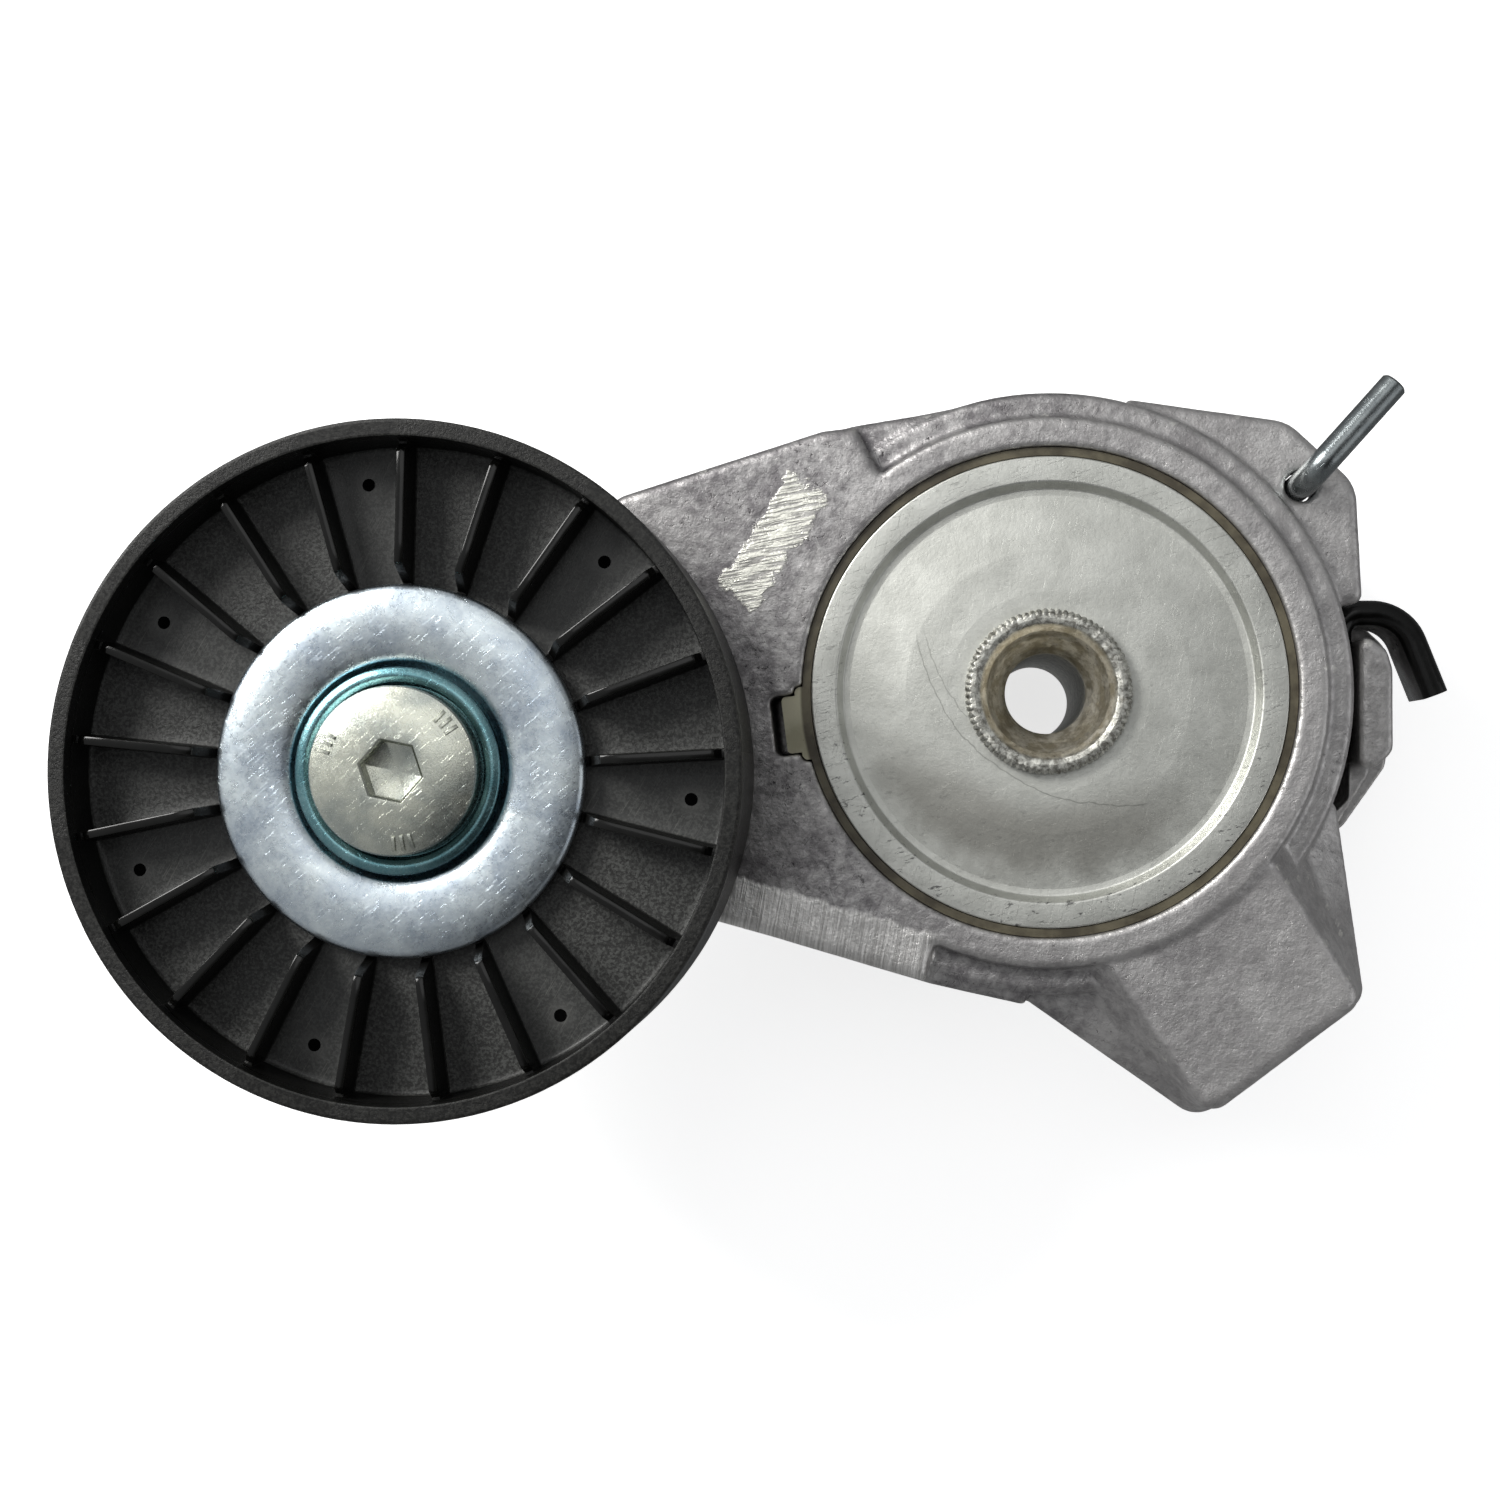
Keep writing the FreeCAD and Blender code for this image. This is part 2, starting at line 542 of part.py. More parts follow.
def front_dust_shield():
    """Dished pressing: clamped on the inner ring, raised annulus, rolled outer edge."""
    low = BEARING_Z[1]
    top = SHIELD_TOP
    t = SHIELD_T
    shoulder = SHIELD_SHOULDER_R
    section = [(BEARING_BORE_R, low), (13.4, low), (14.0, low + 0.5), (shoulder + 0.2, top - t - 0.6),
               (shoulder + 0.9, top - t), (SHIELD_R - 1.6, top - t), (SHIELD_R - 0.95, top - t - 0.6),
               (SHIELD_R - t, top - 2.4), (SHIELD_R - 0.1, top - 2.4), (SHIELD_R, top - 1.6),
               (SHIELD_R - 0.35, top - 0.7), (SHIELD_R - 1.1, top - 0.15), (SHIELD_R - 1.7, top),
               (shoulder + 0.6, top), (shoulder - 0.1, top - 0.3), (shoulder - 0.6, top - 1.1),
               (13.3, low + t + 0.3), (12.9, low + t), (BEARING_BORE_R, low + t)]
    return lathe(section, PULLEY_AT)


def rear_dust_shield():
    low = BEARING_Z[0] - SHIELD_T
    return lathe([(BEARING_BORE_R, low), (13.0, low), (14.2, low - 0.5), (22.2, low - 0.5),
                  (22.2, low + 0.2), (14.4, low + 0.2), (13.2, low + SHIELD_T),
                  (BEARING_BORE_R, low + SHIELD_T)], PULLEY_AT)


def cup_washer():
    low = BEARING_Z[1] + SHIELD_T
    top = WASHER_TOP
    seat = BOLT_HEAD_Z[0]
    return lathe([(BOLT_R + 0.2, low), (WASHER_R - 0.9, low), (WASHER_R - 0.4, low + 0.5),
                  (WASHER_R - 0.1, low + 1.6), (WASHER_R, top - 0.7), (WASHER_R - 0.2, top - 0.2),
                  (WASHER_R - 0.55, top), (WASHER_R - 0.95, top - 0.2), (11.7, top - 1.3),
                  (11.35, seat + 0.5), (11.2, seat), (BOLT_R + 0.2, seat)], PULLEY_AT)


def pulley_bolt():
    low, high = BOLT_HEAD_Z
    body = lathe([(0, BOLT_TIP), (BOLT_R - 1, BOLT_TIP), (BOLT_R, BOLT_TIP + 1), (BOLT_R, low),
                  (BOLT_HEAD_R, low), (BOLT_HEAD_R, high - 0.4), (BOLT_HEAD_R - 0.15, high - 0.2),
                  (BOLT_HEAD_R - 0.4, high - 0.12), (8.0, high), (0, high)], PULLEY_AT)
    corner_r = HEX_ACROSS_FLATS / 2 / math.cos(math.radians(30))
    corners = [(*polar(corner_r, angle, PULLEY_AT), 0) for angle in around(6, HEX_CORNER_AT)]
    floor = high - HEX_DEPTH
    socket = prism(corners, (floor, high + 1))
    mouth = lathe([(0, high - 0.5), (corner_r - 0.35, high - 0.35), (corner_r + 0.15, high + 0.05),
                   (0, high + 0.05)], PULLEY_AT)
    cone = lathe([(0, floor - HEX_TIP_DEPTH), (HEX_ACROSS_FLATS / 2, floor), (0, floor)], PULLEY_AT)
    return body.cut([socket, mouth, cone])


# ---- pulley and bearing bodies ------------------------------------------------------


def rib(angle, front):
    """One radial rib: full height at the rim, falling to the hub under the dust shield."""
    if front:
        floor, crest, hub = PULLEY_WEB[1] - 0.5, PULLEY_Z[1] - RIB_DROP, HUB_Z[1] - 0.2
    else:
        floor, crest, hub = PULLEY_WEB[0] + 0.5, PULLEY_Z[0] + RIB_DROP, HUB_Z[0] + 0.4
    outer = PULLEY_R - PULLEY_RIM
    drop = 1.3 if front else -1.3
    side = [(HUB_R - 1, floor), (outer + 0.6, floor), (outer + 0.6, crest - drop),
            (outer - 0.5, crest - drop), (outer - 1.2, crest), (26.8, crest), (24.6, hub),
            (HUB_R - 1, hub)]
    points = [Vector(r, -RIB_THICKNESS / 2, z) for r, z in side]
    plate = Part.Face(Part.makePolygon(points + points[:1])).extrude(Vector(0, RIB_THICKNESS, 0))
    plate.rotate(Vector(0, 0, 0), UP, angle)
    plate.translate(Vector(*PULLEY_AT, 0))
    return plate


def pulley():
    rear, front = PULLEY_Z
    inner = PULLEY_R - PULLEY_RIM
    web_rear, web_front = PULLEY_WEB
    draft = 0.25
    body = lathe([(BEARING_R, BEARING_Z[0] + 1.0), (HUB_R, HUB_Z[0]), (HUB_R + draft, web_rear),
                  (inner - draft, web_rear), (inner, rear), (PULLEY_R - 0.5, rear),
                  (PULLEY_R, rear + 0.5), (PULLEY_R, front - 0.5), (PULLEY_R - 0.5, front),
                  (inner + 0.2, front), (inner, front - 0.2), (inner - draft, web_front),
                  (HUB_R + draft, web_front), (HUB_R, HUB_Z[1]), (18.6, HUB_Z[1]),
                  (18.6, BEARING_Z[1] + 0.02), (BEARING_R, BEARING_Z[1] + 0.02)], PULLEY_AT)
    ribs = [rib(angle, True) for angle in around(PULLEY_RIBS, RIB_PHASE)]
    ribs += [rib(angle, False) for angle in around(PULLEY_RIBS, RIB_PHASE)]
    body = body.fuse(ribs)
    half_pitch = 180.0 / PULLEY_RIBS
    marks = [disc(MARK_HOLE_R, (web_front - 0.6, web_front + 1), polar(MARK_R, angle, PULLEY_AT))
             for angle in around(PULLEY_RIBS // 3, RIB_PHASE - half_pitch)]
    return body.cut(marks)


def bearing_outer_ring():
    middle = sum(BEARING_Z) / 2
    body = ring(BEARING_R - 0.01, LAND_OUTER_R, BEARING_Z, PULLEY_AT)
    groove = Part.makeTorus(BALL_PITCH_R, BALL_R + FIT, Vector(*PULLEY_AT, middle), UP)
    return body.cut(groove)


def bearing_seal(front):
    low = BEARING_Z[1] - 1.3 if front else BEARING_Z[0] + 0.4
    return ring(LAND_OUTER_R - 0.01, LAND_INNER_R + 0.1, (low, low + 0.9), PULLEY_AT)


def ball_centres():
    middle = sum(BEARING_Z) / 2
    return [Vector(*polar(BALL_PITCH_R, angle, PULLEY_AT), middle) for angle in around(BALLS)]


def bearing_balls():
    return Part.makeCompound([Part.makeSphere(BALL_R, centre) for centre in ball_centres()])


def bearing_cage():
    """Crown cage: one ring that snaps over the balls."""
    middle = sum(BEARING_Z) / 2
    body = ring(15.6, 12.9, (middle - 1.4, middle + 3.9), PULLEY_AT)
    return body.cut([Part.makeSphere(BALL_R + 0.1, centre) for centre in ball_centres()])


def lock_pin():
    """Bent rod: a straight shank through the flange, a bend, and a straight handle."""
    along = Vector(math.cos(math.radians(PIN_LEG_ANGLE)), math.sin(math.radians(PIN_LEG_ANGLE)), 0)
    foot = Vector(*PIN_AT, PIN_TIP_Z)
    bend_start = Vector(*PIN_AT, PIN_LEG_Z - PIN_BEND_R)
    centre = bend_start + along * PIN_BEND_R
    middle = centre + (UP - along).normalize() * PIN_BEND_R
    bend_end = centre + UP * PIN_BEND_R
    tip = Vector(*PIN_AT, PIN_LEG_Z) + along * PIN_LEG
    path = Part.Wire([Part.LineSegment(foot, bend_start).toShape(),
                      Part.Arc(bend_start, middle, bend_end).toShape(),
                      Part.LineSegment(bend_end, tip).toShape()])
    section = Part.Wire(Part.makeCircle(PIN_R, foot, UP))
    rod = path.makePipeShell([section], True, True)
    ends = [e for e in rod.Edges if e.Length < 2.2 * math.pi * PIN_R and
            (level_edge(e, PIN_TIP_Z) or e.CenterOfMass.distanceToPoint(tip) < 0.01)]
    return rod.makeChamfer(0.3, ends)


# ---- write every node ---------------------------------------------------------------

NODES = {
    "base_housing": base_housing,
    "pivot_tube": pivot_tube,
    "cover_disc": cover_disc,
    "locating_dowel": locating_dowel,
    "thrust_washer": thrust_washer,
    "spiral_spring": spiral_spring,
    "arm": arm,
    "pivot_bushing": pivot_bushing,
    "friction_ring": friction_ring,
    "bearing_inner_ring": bearing_inner_ring,
    "front_dust_shield": front_dust_shield,
    "rear_dust_shield": rear_dust_shield,
    "cup_washer": cup_washer,
    "pulley_bolt": pulley_bolt,
    "pulley": pulley,
    "bearing_outer_ring": bearing_outer_ring,
    "bearing_seal_front": lambda: bearing_seal(True),
    "bearing_seal_rear": lambda: bearing_seal(False),
    "bearing_balls": bearing_balls,
    "bearing_cage": bearing_cage,
    "lock_pin": lock_pin,
}


def main():
    os.makedirs("parts", exist_ok=True)
    for name, make in NODES.items():
        shape = make()
        print(f"{name}: valid {shape.isValid()}, solids {len(shape.Solids)}, {shape.Volume:.0f} mm3")
        shape.exportStep(f"parts/{name}.step")


main()
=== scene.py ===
import math

import bmesh
import bpy
from mathutils import Matrix, Vector, noise


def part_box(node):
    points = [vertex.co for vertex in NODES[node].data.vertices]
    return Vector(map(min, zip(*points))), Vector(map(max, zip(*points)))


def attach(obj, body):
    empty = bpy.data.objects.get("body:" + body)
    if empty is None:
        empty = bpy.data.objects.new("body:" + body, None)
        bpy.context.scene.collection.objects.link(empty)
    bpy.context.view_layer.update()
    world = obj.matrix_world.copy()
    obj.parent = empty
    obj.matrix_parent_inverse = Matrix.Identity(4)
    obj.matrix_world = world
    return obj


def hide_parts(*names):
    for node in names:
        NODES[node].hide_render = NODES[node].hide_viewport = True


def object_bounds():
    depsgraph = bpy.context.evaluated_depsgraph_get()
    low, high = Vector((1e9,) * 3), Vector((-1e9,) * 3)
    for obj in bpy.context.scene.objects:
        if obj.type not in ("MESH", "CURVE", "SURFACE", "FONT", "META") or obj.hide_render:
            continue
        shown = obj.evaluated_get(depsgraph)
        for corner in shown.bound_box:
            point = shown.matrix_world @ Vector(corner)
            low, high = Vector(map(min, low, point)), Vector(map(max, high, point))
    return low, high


# Belt tensioner with its idler pulley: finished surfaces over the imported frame.
# Lengths are millimetres until they reach a mesh, a light or the camera.

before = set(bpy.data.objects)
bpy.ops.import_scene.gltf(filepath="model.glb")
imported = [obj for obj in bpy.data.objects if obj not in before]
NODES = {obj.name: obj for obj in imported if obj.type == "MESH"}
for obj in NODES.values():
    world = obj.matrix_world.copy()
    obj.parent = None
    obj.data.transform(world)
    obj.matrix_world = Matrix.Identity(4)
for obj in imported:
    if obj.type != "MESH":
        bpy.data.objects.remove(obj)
cad_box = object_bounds()
MM = 0.001
TAU = 2 * math.pi
PIVOT = (0.0, 0.0)
SKIN_WAVE = 7.0                 # length of the slow and of the fine unevenness of a cast skin
SKIN_RIPPLE = 2.2


# ---- where things are, read from the frame -------------------------------------------


def box_mm(node):
    low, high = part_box(node)
    return low / MM, high / MM


def levels(node):
    low, high = box_mm(node)
    return low.z, high.z


def radius_of(node):
    low, high = box_mm(node)
    return (high.x - low.x) / 2


def polar(radius, degrees, at=PIVOT):
    angle = math.radians(degrees)
    return at[0] + radius * math.cos(angle), at[1] + radius * math.sin(angle)


race_low, race_high = box_mm("bearing_outer_ring")
PULLEY_AXIS = ((race_low.x + race_high.x) / 2, (race_low.y + race_high.y) / 2)


# ---- mesh tools ----------------------------------------------------------------------


def mesh_object(name, vertices, faces, crease=35.0):
    """Closed mesh from points in millimetres, smooth but for edges sharper than crease."""
    mesh = bpy.data.meshes.new(name)
    mesh.from_pydata([Vector(v) * MM for v in vertices], [], faces)
    work = bmesh.new()
    work.from_mesh(mesh)
    bmesh.ops.remove_doubles(work, verts=work.verts, dist=1e-7)
    bmesh.ops.recalc_face_normals(work, faces=work.faces)
    work.to_mesh(mesh)
    work.free()
    mesh.shade_smooth()
    mesh.set_sharp_from_angle(angle=math.radians(crease))
    piece = bpy.data.objects.new(name, mesh)
    bpy.context.scene.collection.objects.link(piece)
    return piece


def dress(piece, material, body, slot, *replaced):
    piece.data.materials.clear()
    piece.data.materials.append(material)
    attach(piece, body)
    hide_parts(*replaced)
    return piece


def rounded(corners, closed=True, steps=5):
    """Points of an outline or path; each corner ends with the radius that rounds it off."""
    count = len(corners)
    points = []
    for i, (*place, radius) in enumerate(corners):
        here = Vector(place)
        if not radius or (not closed and i in (0, count - 1)):
            points.append(here)
            continue
        back = Vector(corners[i - 1][:-1]) - here
        ahead = Vector(corners[(i + 1) % count][:-1]) - here
        half = back.angle(ahead) / 2
        reach = min(radius / math.tan(half), 0.49 * back.length, 0.49 * ahead.length)
        radius = reach * math.tan(half)
        middle = (back.normalized() + ahead.normalized()).normalized()
        centre = here + middle * (radius / math.sin(half))
        start = here + back.normalized() * reach - centre
        end = here + ahead.normalized() * reach - centre
        for k in range(steps + 1):
            points.append(centre + start.lerp(end, k / steps).normalized() * radius)
    return points


def tube_faces(rings, count, ring_closed):
    """Quads that join rings of count points, each to the next."""
    faces = []
    for s in range(rings if ring_closed else rings - 1):
        here, after = s * count, (s + 1) % rings * count
        for k in range(count):
            j = (k + 1) % count
            faces.append((here + k, here + j, after + j, after + k))
    return faces


def lathe(name, profile, at=PIVOT, segments=288, start=0.0, shape=None):
    """Turned piece: (radius, height, rounding) corners, closed, carried round an axis."""
    outline = rounded(profile)
    vertices = []
    for s in range(segments):
        angle = start + TAU * s / segments
        for radius, height in outline:
            if shape:
                radius, height = shape(radius, height, angle)
            vertices.append((*polar(radius, math.degrees(angle), at), height))
    return mesh_object(name, vertices, tube_faces(segments, len(outline), True))


def sweep(name, path, section, across, chamfer):
    """Section carried along a path in the plane square to across, with chamfered ends."""
    size = max(Vector(p).length for p in section)
    small = 1 - chamfer / size
    first = path[0] + (path[1] - path[0]).normalized() * chamfer
    last = path[-1] + (path[-2] - path[-1]).normalized() * chamfer
    stations = [(path[0], small), (first, 1), *((p, 1) for p in path[1:-1]), (last, 1),
                (path[-1], small)]
    vertices = []
    for i, (point, scale) in enumerate(stations):
        before = stations[max(i - 1, 0)][0]
        after = stations[min(i + 1, len(stations) - 1)][0]
        side = across.cross((after - before).normalized())
        for u, v in section:
            vertices.append(point + (side * u + across * v) * scale)
    count = len(section)
    faces = tube_faces(len(stations), count, False)
    faces.append(tuple(range(count)))
    faces.append(tuple(range(len(vertices) - count, len(vertices))))
    return mesh_object(name, vertices, faces)


def casting(name, node, voxel, passes, swell):
    """The CAD node's shape with a cast skin: edges blend and flats are slightly uneven."""
    mesh = NODES[node].data.copy()
    mesh.name = name
    work = bmesh.new()
    work.from_mesh(mesh)
    bmesh.ops.remove_doubles(work, verts=work.verts, dist=1e-6)
    work.to_mesh(mesh)
    work.free()
    piece = bpy.data.objects.new(name, mesh)
    bpy.context.scene.collection.objects.link(piece)
    remesh = piece.modifiers.new("skin", "REMESH")
    remesh.mode = "VOXEL"
    remesh.voxel_size = voxel * MM
    remesh.use_smooth_shade = True
    smooth = piece.modifiers.new("blend", "SMOOTH")
    smooth.factor = 0.5
    smooth.iterations = passes
    graph = bpy.context.evaluated_depsgraph_get()
    skin = bpy.data.meshes.new_from_object(piece.evaluated_get(graph))
    piece.modifiers.clear()
    piece.data = skin
    normals = [v.normal.copy() for v in skin.vertices]
    for vertex, normal in zip(skin.vertices, normals):
        place = vertex.co / MM
        slow = noise.noise(place / SKIN_WAVE)
        fine = noise.noise(place / SKIN_RIPPLE + Vector((9, 4, 2)))
        vertex.co += normal * ((slow + 0.45 * fine) * swell * MM)
    skin.update()
    return piece


# ---- material tools ------------------------------------------------------------------


def tone(red, green, blue):
    """Linear colour from display values between 0 and 255."""
    return [((c / 255 + 0.055) / 1.055) ** 2.4 if c > 10 else c / 255 / 12.92
            for c in (red, green, blue)] + [1.0]


class Shader:
    """A node material being built. Textures are laid out in millimetres."""

    def __init__(self, name):
        self.material = bpy.data.materials.new(name)
        self.material.use_nodes = True
        self.nodes = self.material.node_tree.nodes
        self.nodes.clear()
        self.surface = self.nodes.new("ShaderNodeBsdfPrincipled")
        output = self.nodes.new("ShaderNodeOutputMaterial")
        self.join(self.surface.outputs["BSDF"], output.inputs["Surface"])
        place = self.nodes.new("ShaderNodeTexCoord").outputs["Object"]
        self.place = self.node("ShaderNodeVectorMath", {0: place, "Scale": 1 / MM},
                               operation="SCALE")

    def join(self, source, target):
        self.material.node_tree.links.new(source, target)

    def node(self, kind, inputs, out=0, **settings):
        node = self.nodes.new(kind)
        for key, value in settings.items():
            setattr(node, key, value)
        for key, value in inputs.items():
            self.put(node.inputs[key], value)
        return node.outputs[out]

    def put(self, socket, value):
        if isinstance(value, bpy.types.NodeSocket):
            self.join(value, socket)
        else:
            socket.default_value = value

    def set(self, **values):
        names = {"colour": "Base Color", "metal": "Metallic", "rough": "Roughness",
                 "normal": "Normal", "coat": "Coat Weight", "coat_rough": "Coat Roughness",
                 "specular": "Specular IOR Level"}
        for key, value in values.items():
            self.put(self.surface.inputs[names[key]], value)
        return self.material

    def math(self, operation, a, b=0.0, c=0.0):
        return self.node("ShaderNodeMath", {0: a, 1: b, 2: c}, operation=operation)

    def split(self):
        """The three coordinates, in millimetres."""
        node = self.nodes.new("ShaderNodeSeparateXYZ")
        self.join(self.place, node.inputs[0])
        return node.outputs[0], node.outputs[1], node.outputs[2]

    def stretch(self, size, turn=0.0, shift=0.0):
        """Coordinates scaled so that a feature is size = (x, y, z) mm, turned about Z."""
        turned = self.node("ShaderNodeVectorRotate",
                           {"Vector": self.place, "Angle": math.radians(-turn)},
                           rotation_type="Z_AXIS")
        return self.node("ShaderNodeMapping", {"Vector": turned, "Location": (shift,) * 3,
                                               "Scale": [1 / s for s in size]})

    def noise(self, size, detail=3.0, rough=0.55, turn=0.0, shift=0.0, warp=0.0):
        size = size if isinstance(size, tuple) else (size,) * 3
        return self.node("ShaderNodeTexNoise",
                         {"Vector": self.stretch(size, turn, shift), "Scale": 1.0,
                          "Detail": detail, "Roughness": rough, "Distortion": warp})

    def cells(self, size):
        """A random colour for each cell of that size."""
        return self.node("ShaderNodeTexVoronoi",
                         {"Vector": self.stretch((size,) * 3), "Scale": 1.0}, 1)

    def ramp(self, value, low, high, first=0.0, last=1.0):
        """Smooth step of value from low to high, giving first to last."""
        return self.node("ShaderNodeMapRange",
                         {"Value": value, "From Min": low, "From Max": high,
                          "To Min": first, "To Max": last},
                         interpolation_type="SMOOTHSTEP")

    def mix(self, share, a, b, blend="MIX"):
        return self.node("ShaderNodeMix", {0: share, 6: a, 7: b}, 2, data_type="RGBA",
                         blend_type=blend)

    def lerp(self, share, a, b):
        return self.node("ShaderNodeMix", {0: share, 2: a, 3: b})

    def bump(self, height, depth, under=None):
        inputs = {"Height": height, "Strength": 1.0, "Distance": depth * MM}
        if under:
            inputs["Normal"] = under
        return self.node("ShaderNodeBump", inputs)

    def radius(self, at=PIVOT):
        x, y, _ = self.split()
        dx, dy = self.math("SUBTRACT", x, at[0]), self.math("SUBTRACT", y, at[1])
        squares = self.math("ADD", self.math("MULTIPLY", dx, dx), self.math("MULTIPLY", dy, dy))
        return self.math("SQRT", squares)

    def rings(self, at, width, seed):
        """Turning marks: noise that depends on the radius alone."""
        flat = self.node("ShaderNodeCombineXYZ", {0: self.radius(at), 1: seed})
        return self.node("ShaderNodeTexNoise", {"Vector": flat, "Scale": 1 / width,
                                                "Detail": 2.0})

    def band(self, value, low, high, soft):
        """One between low and high, zero outside, with soft edges."""
        return self.math("MULTIPLY", self.ramp(value, low - soft, low + soft),
                         self.ramp(value, high - soft, high + soft, 1.0, 0.0))

    def edges(self, width, low=0.02, high=0.25):
        """Mask of outer and inner edges, from how far a rounded normal leaves the true one."""
        bevel = self.node("ShaderNodeBevel", {"Radius": width * MM}, samples=4)
        normal = self.nodes.new("ShaderNodeNewGeometry").outputs["Normal"]
        dot = self.node("ShaderNodeVectorMath", {0: bevel, 1: normal}, 1,
                        operation="DOT_PRODUCT")
        return self.ramp(self.math("SUBTRACT", 1.0, dot), low, high)

    def crests(self, low, high):
        """Mask of worn outer edges on a dense mesh."""
        point = self.nodes.new("ShaderNodeNewGeometry").outputs["Pointiness"]
        return self.ramp(point, low, high)

    def scratches(self, width, length, turn, amount, shift):
        """Thin straight marks in one direction; amount is the share of them that shows."""
        lines = self.noise((length, width, length), 1.0, 0.4, turn, shift)
        return self.ramp(lines, 0.76 - amount, 0.80 - amount)


# ---- materials -----------------------------------------------------------------------


def cast_metal(name, dark, light, seed, worked=False):
    """Die-cast aluminium: mottled skin, small pits, rubbed edges, handling scratches.

    Painted light makes it lighter towards +X, and painted shade darkens its hollows.
    """
    s = Shader(name)
    clouds = s.noise(9.0, 5.0, 0.62, shift=seed, warp=0.6)
    mottle = s.noise(1.6, 5.0, 0.7, shift=seed + 3, warp=0.3)
    mixed = s.math("ADD", s.math("MULTIPLY", clouds, 0.5), s.math("MULTIPLY", mottle, 0.5))
    colour = s.mix(s.ramp(mixed, 0.36, 0.64), dark, light)
    specks = s.ramp(s.noise(0.75, 3.0, 0.75, shift=seed + 7), 0.57, 0.72)
    patches = s.ramp(s.noise(6.0, 3.0, 0.6, shift=seed + 11), 0.42, 0.66)
    specks = s.math("MULTIPLY", specks, s.math("ADD", s.math("MULTIPLY", patches, 0.85), 0.14))
    colour = s.mix(specks, colour, tone(62, 60, 62))
    bright = s.ramp(s.noise(0.5, 2.0, 0.6, shift=seed + 23), 0.64, 0.74)
    colour = s.mix(s.math("MULTIPLY", bright, 0.45), colour, tone(214, 213, 210))
    dark_marks = s.math("MAXIMUM", s.scratches(0.14, 2.6, 55, 0.075, seed + 9),
                        s.scratches(0.14, 2.2, -8, 0.07, seed + 6))
    colour = s.mix(s.math("MULTIPLY", dark_marks, 0.45), colour, tone(60, 58, 60))
    marks = s.math("MAXIMUM", s.scratches(0.10, 9.0, 35, 0.05, seed),
                   s.scratches(0.12, 6.0, 112, 0.045, seed + 5))
    colour = s.mix(s.math("MULTIPLY", marks, 0.4), colour, tone(205, 205, 203))
    rough = s.ramp(mottle, 0.3, 0.7, 0.50, 0.36)
    rough = s.math("ADD", rough, s.math("MULTIPLY", specks, 0.2))
    fine = s.noise(0.45, 3.0, 0.65, shift=seed + 2)
    coarse = s.noise(2.4, 3.0, 0.55, shift=seed + 4)
    normal = s.bump(coarse, 0.16)
    normal = s.bump(fine, 0.05, normal)
    normal = s.bump(specks, -0.05, normal)
    if worked:
        colour, rough, normal = worked_areas_and_shade(s, colour, rough, normal)
    # Painted light: the colour grows lighter towards +X, the side that should catch more lamp
    # light.
    painted_light_toward_x = s.ramp(s.split()[0], -12.0, 44.0, 0.0, 0.42)
    colour = s.mix(painted_light_toward_x, colour, tone(216, 214, 212))
    ragged = s.ramp(s.noise(1.1, 4.0, 0.75, shift=seed + 15), 0.42, 0.60, 0.12, 0.9)
    rubbed = s.math("MULTIPLY", s.crests(0.515, 0.56), ragged)
    colour = s.mix(rubbed, colour, tone(226, 224, 219))
    rough = s.math("SUBTRACT", rough, s.math("MULTIPLY", rubbed, 0.12))
    # Painted shade: hollows and inner corners are darkened in the colour.
    painted_hollow_shade = s.crests(0.475, 0.42)
    colour = s.mix(s.math("MULTIPLY", painted_hollow_shade, 0.14), colour, tone(70, 67, 66))
    return s.set(colour=colour, metal=0.88, rough=rough, normal=normal)


def along_and_off(s, start, end):
    """Coordinates along a line and off to its left, for marking a worked strip."""
    x, y, z = s.split()
    length = math.dist(start, end)
    ux, uy = (end[0] - start[0]) / length, (end[1] - start[1]) / length
    dx, dy = s.math("SUBTRACT", x, start[0]), s.math("SUBTRACT", y, start[1])
    along = s.math("ADD", s.math("MULTIPLY", dx, ux), s.math("MULTIPLY", dy, uy))
    off = s.math("SUBTRACT", s.math("MULTIPLY", dy, ux), s.math("MULTIPLY", dx, uy))
    return along, off, z


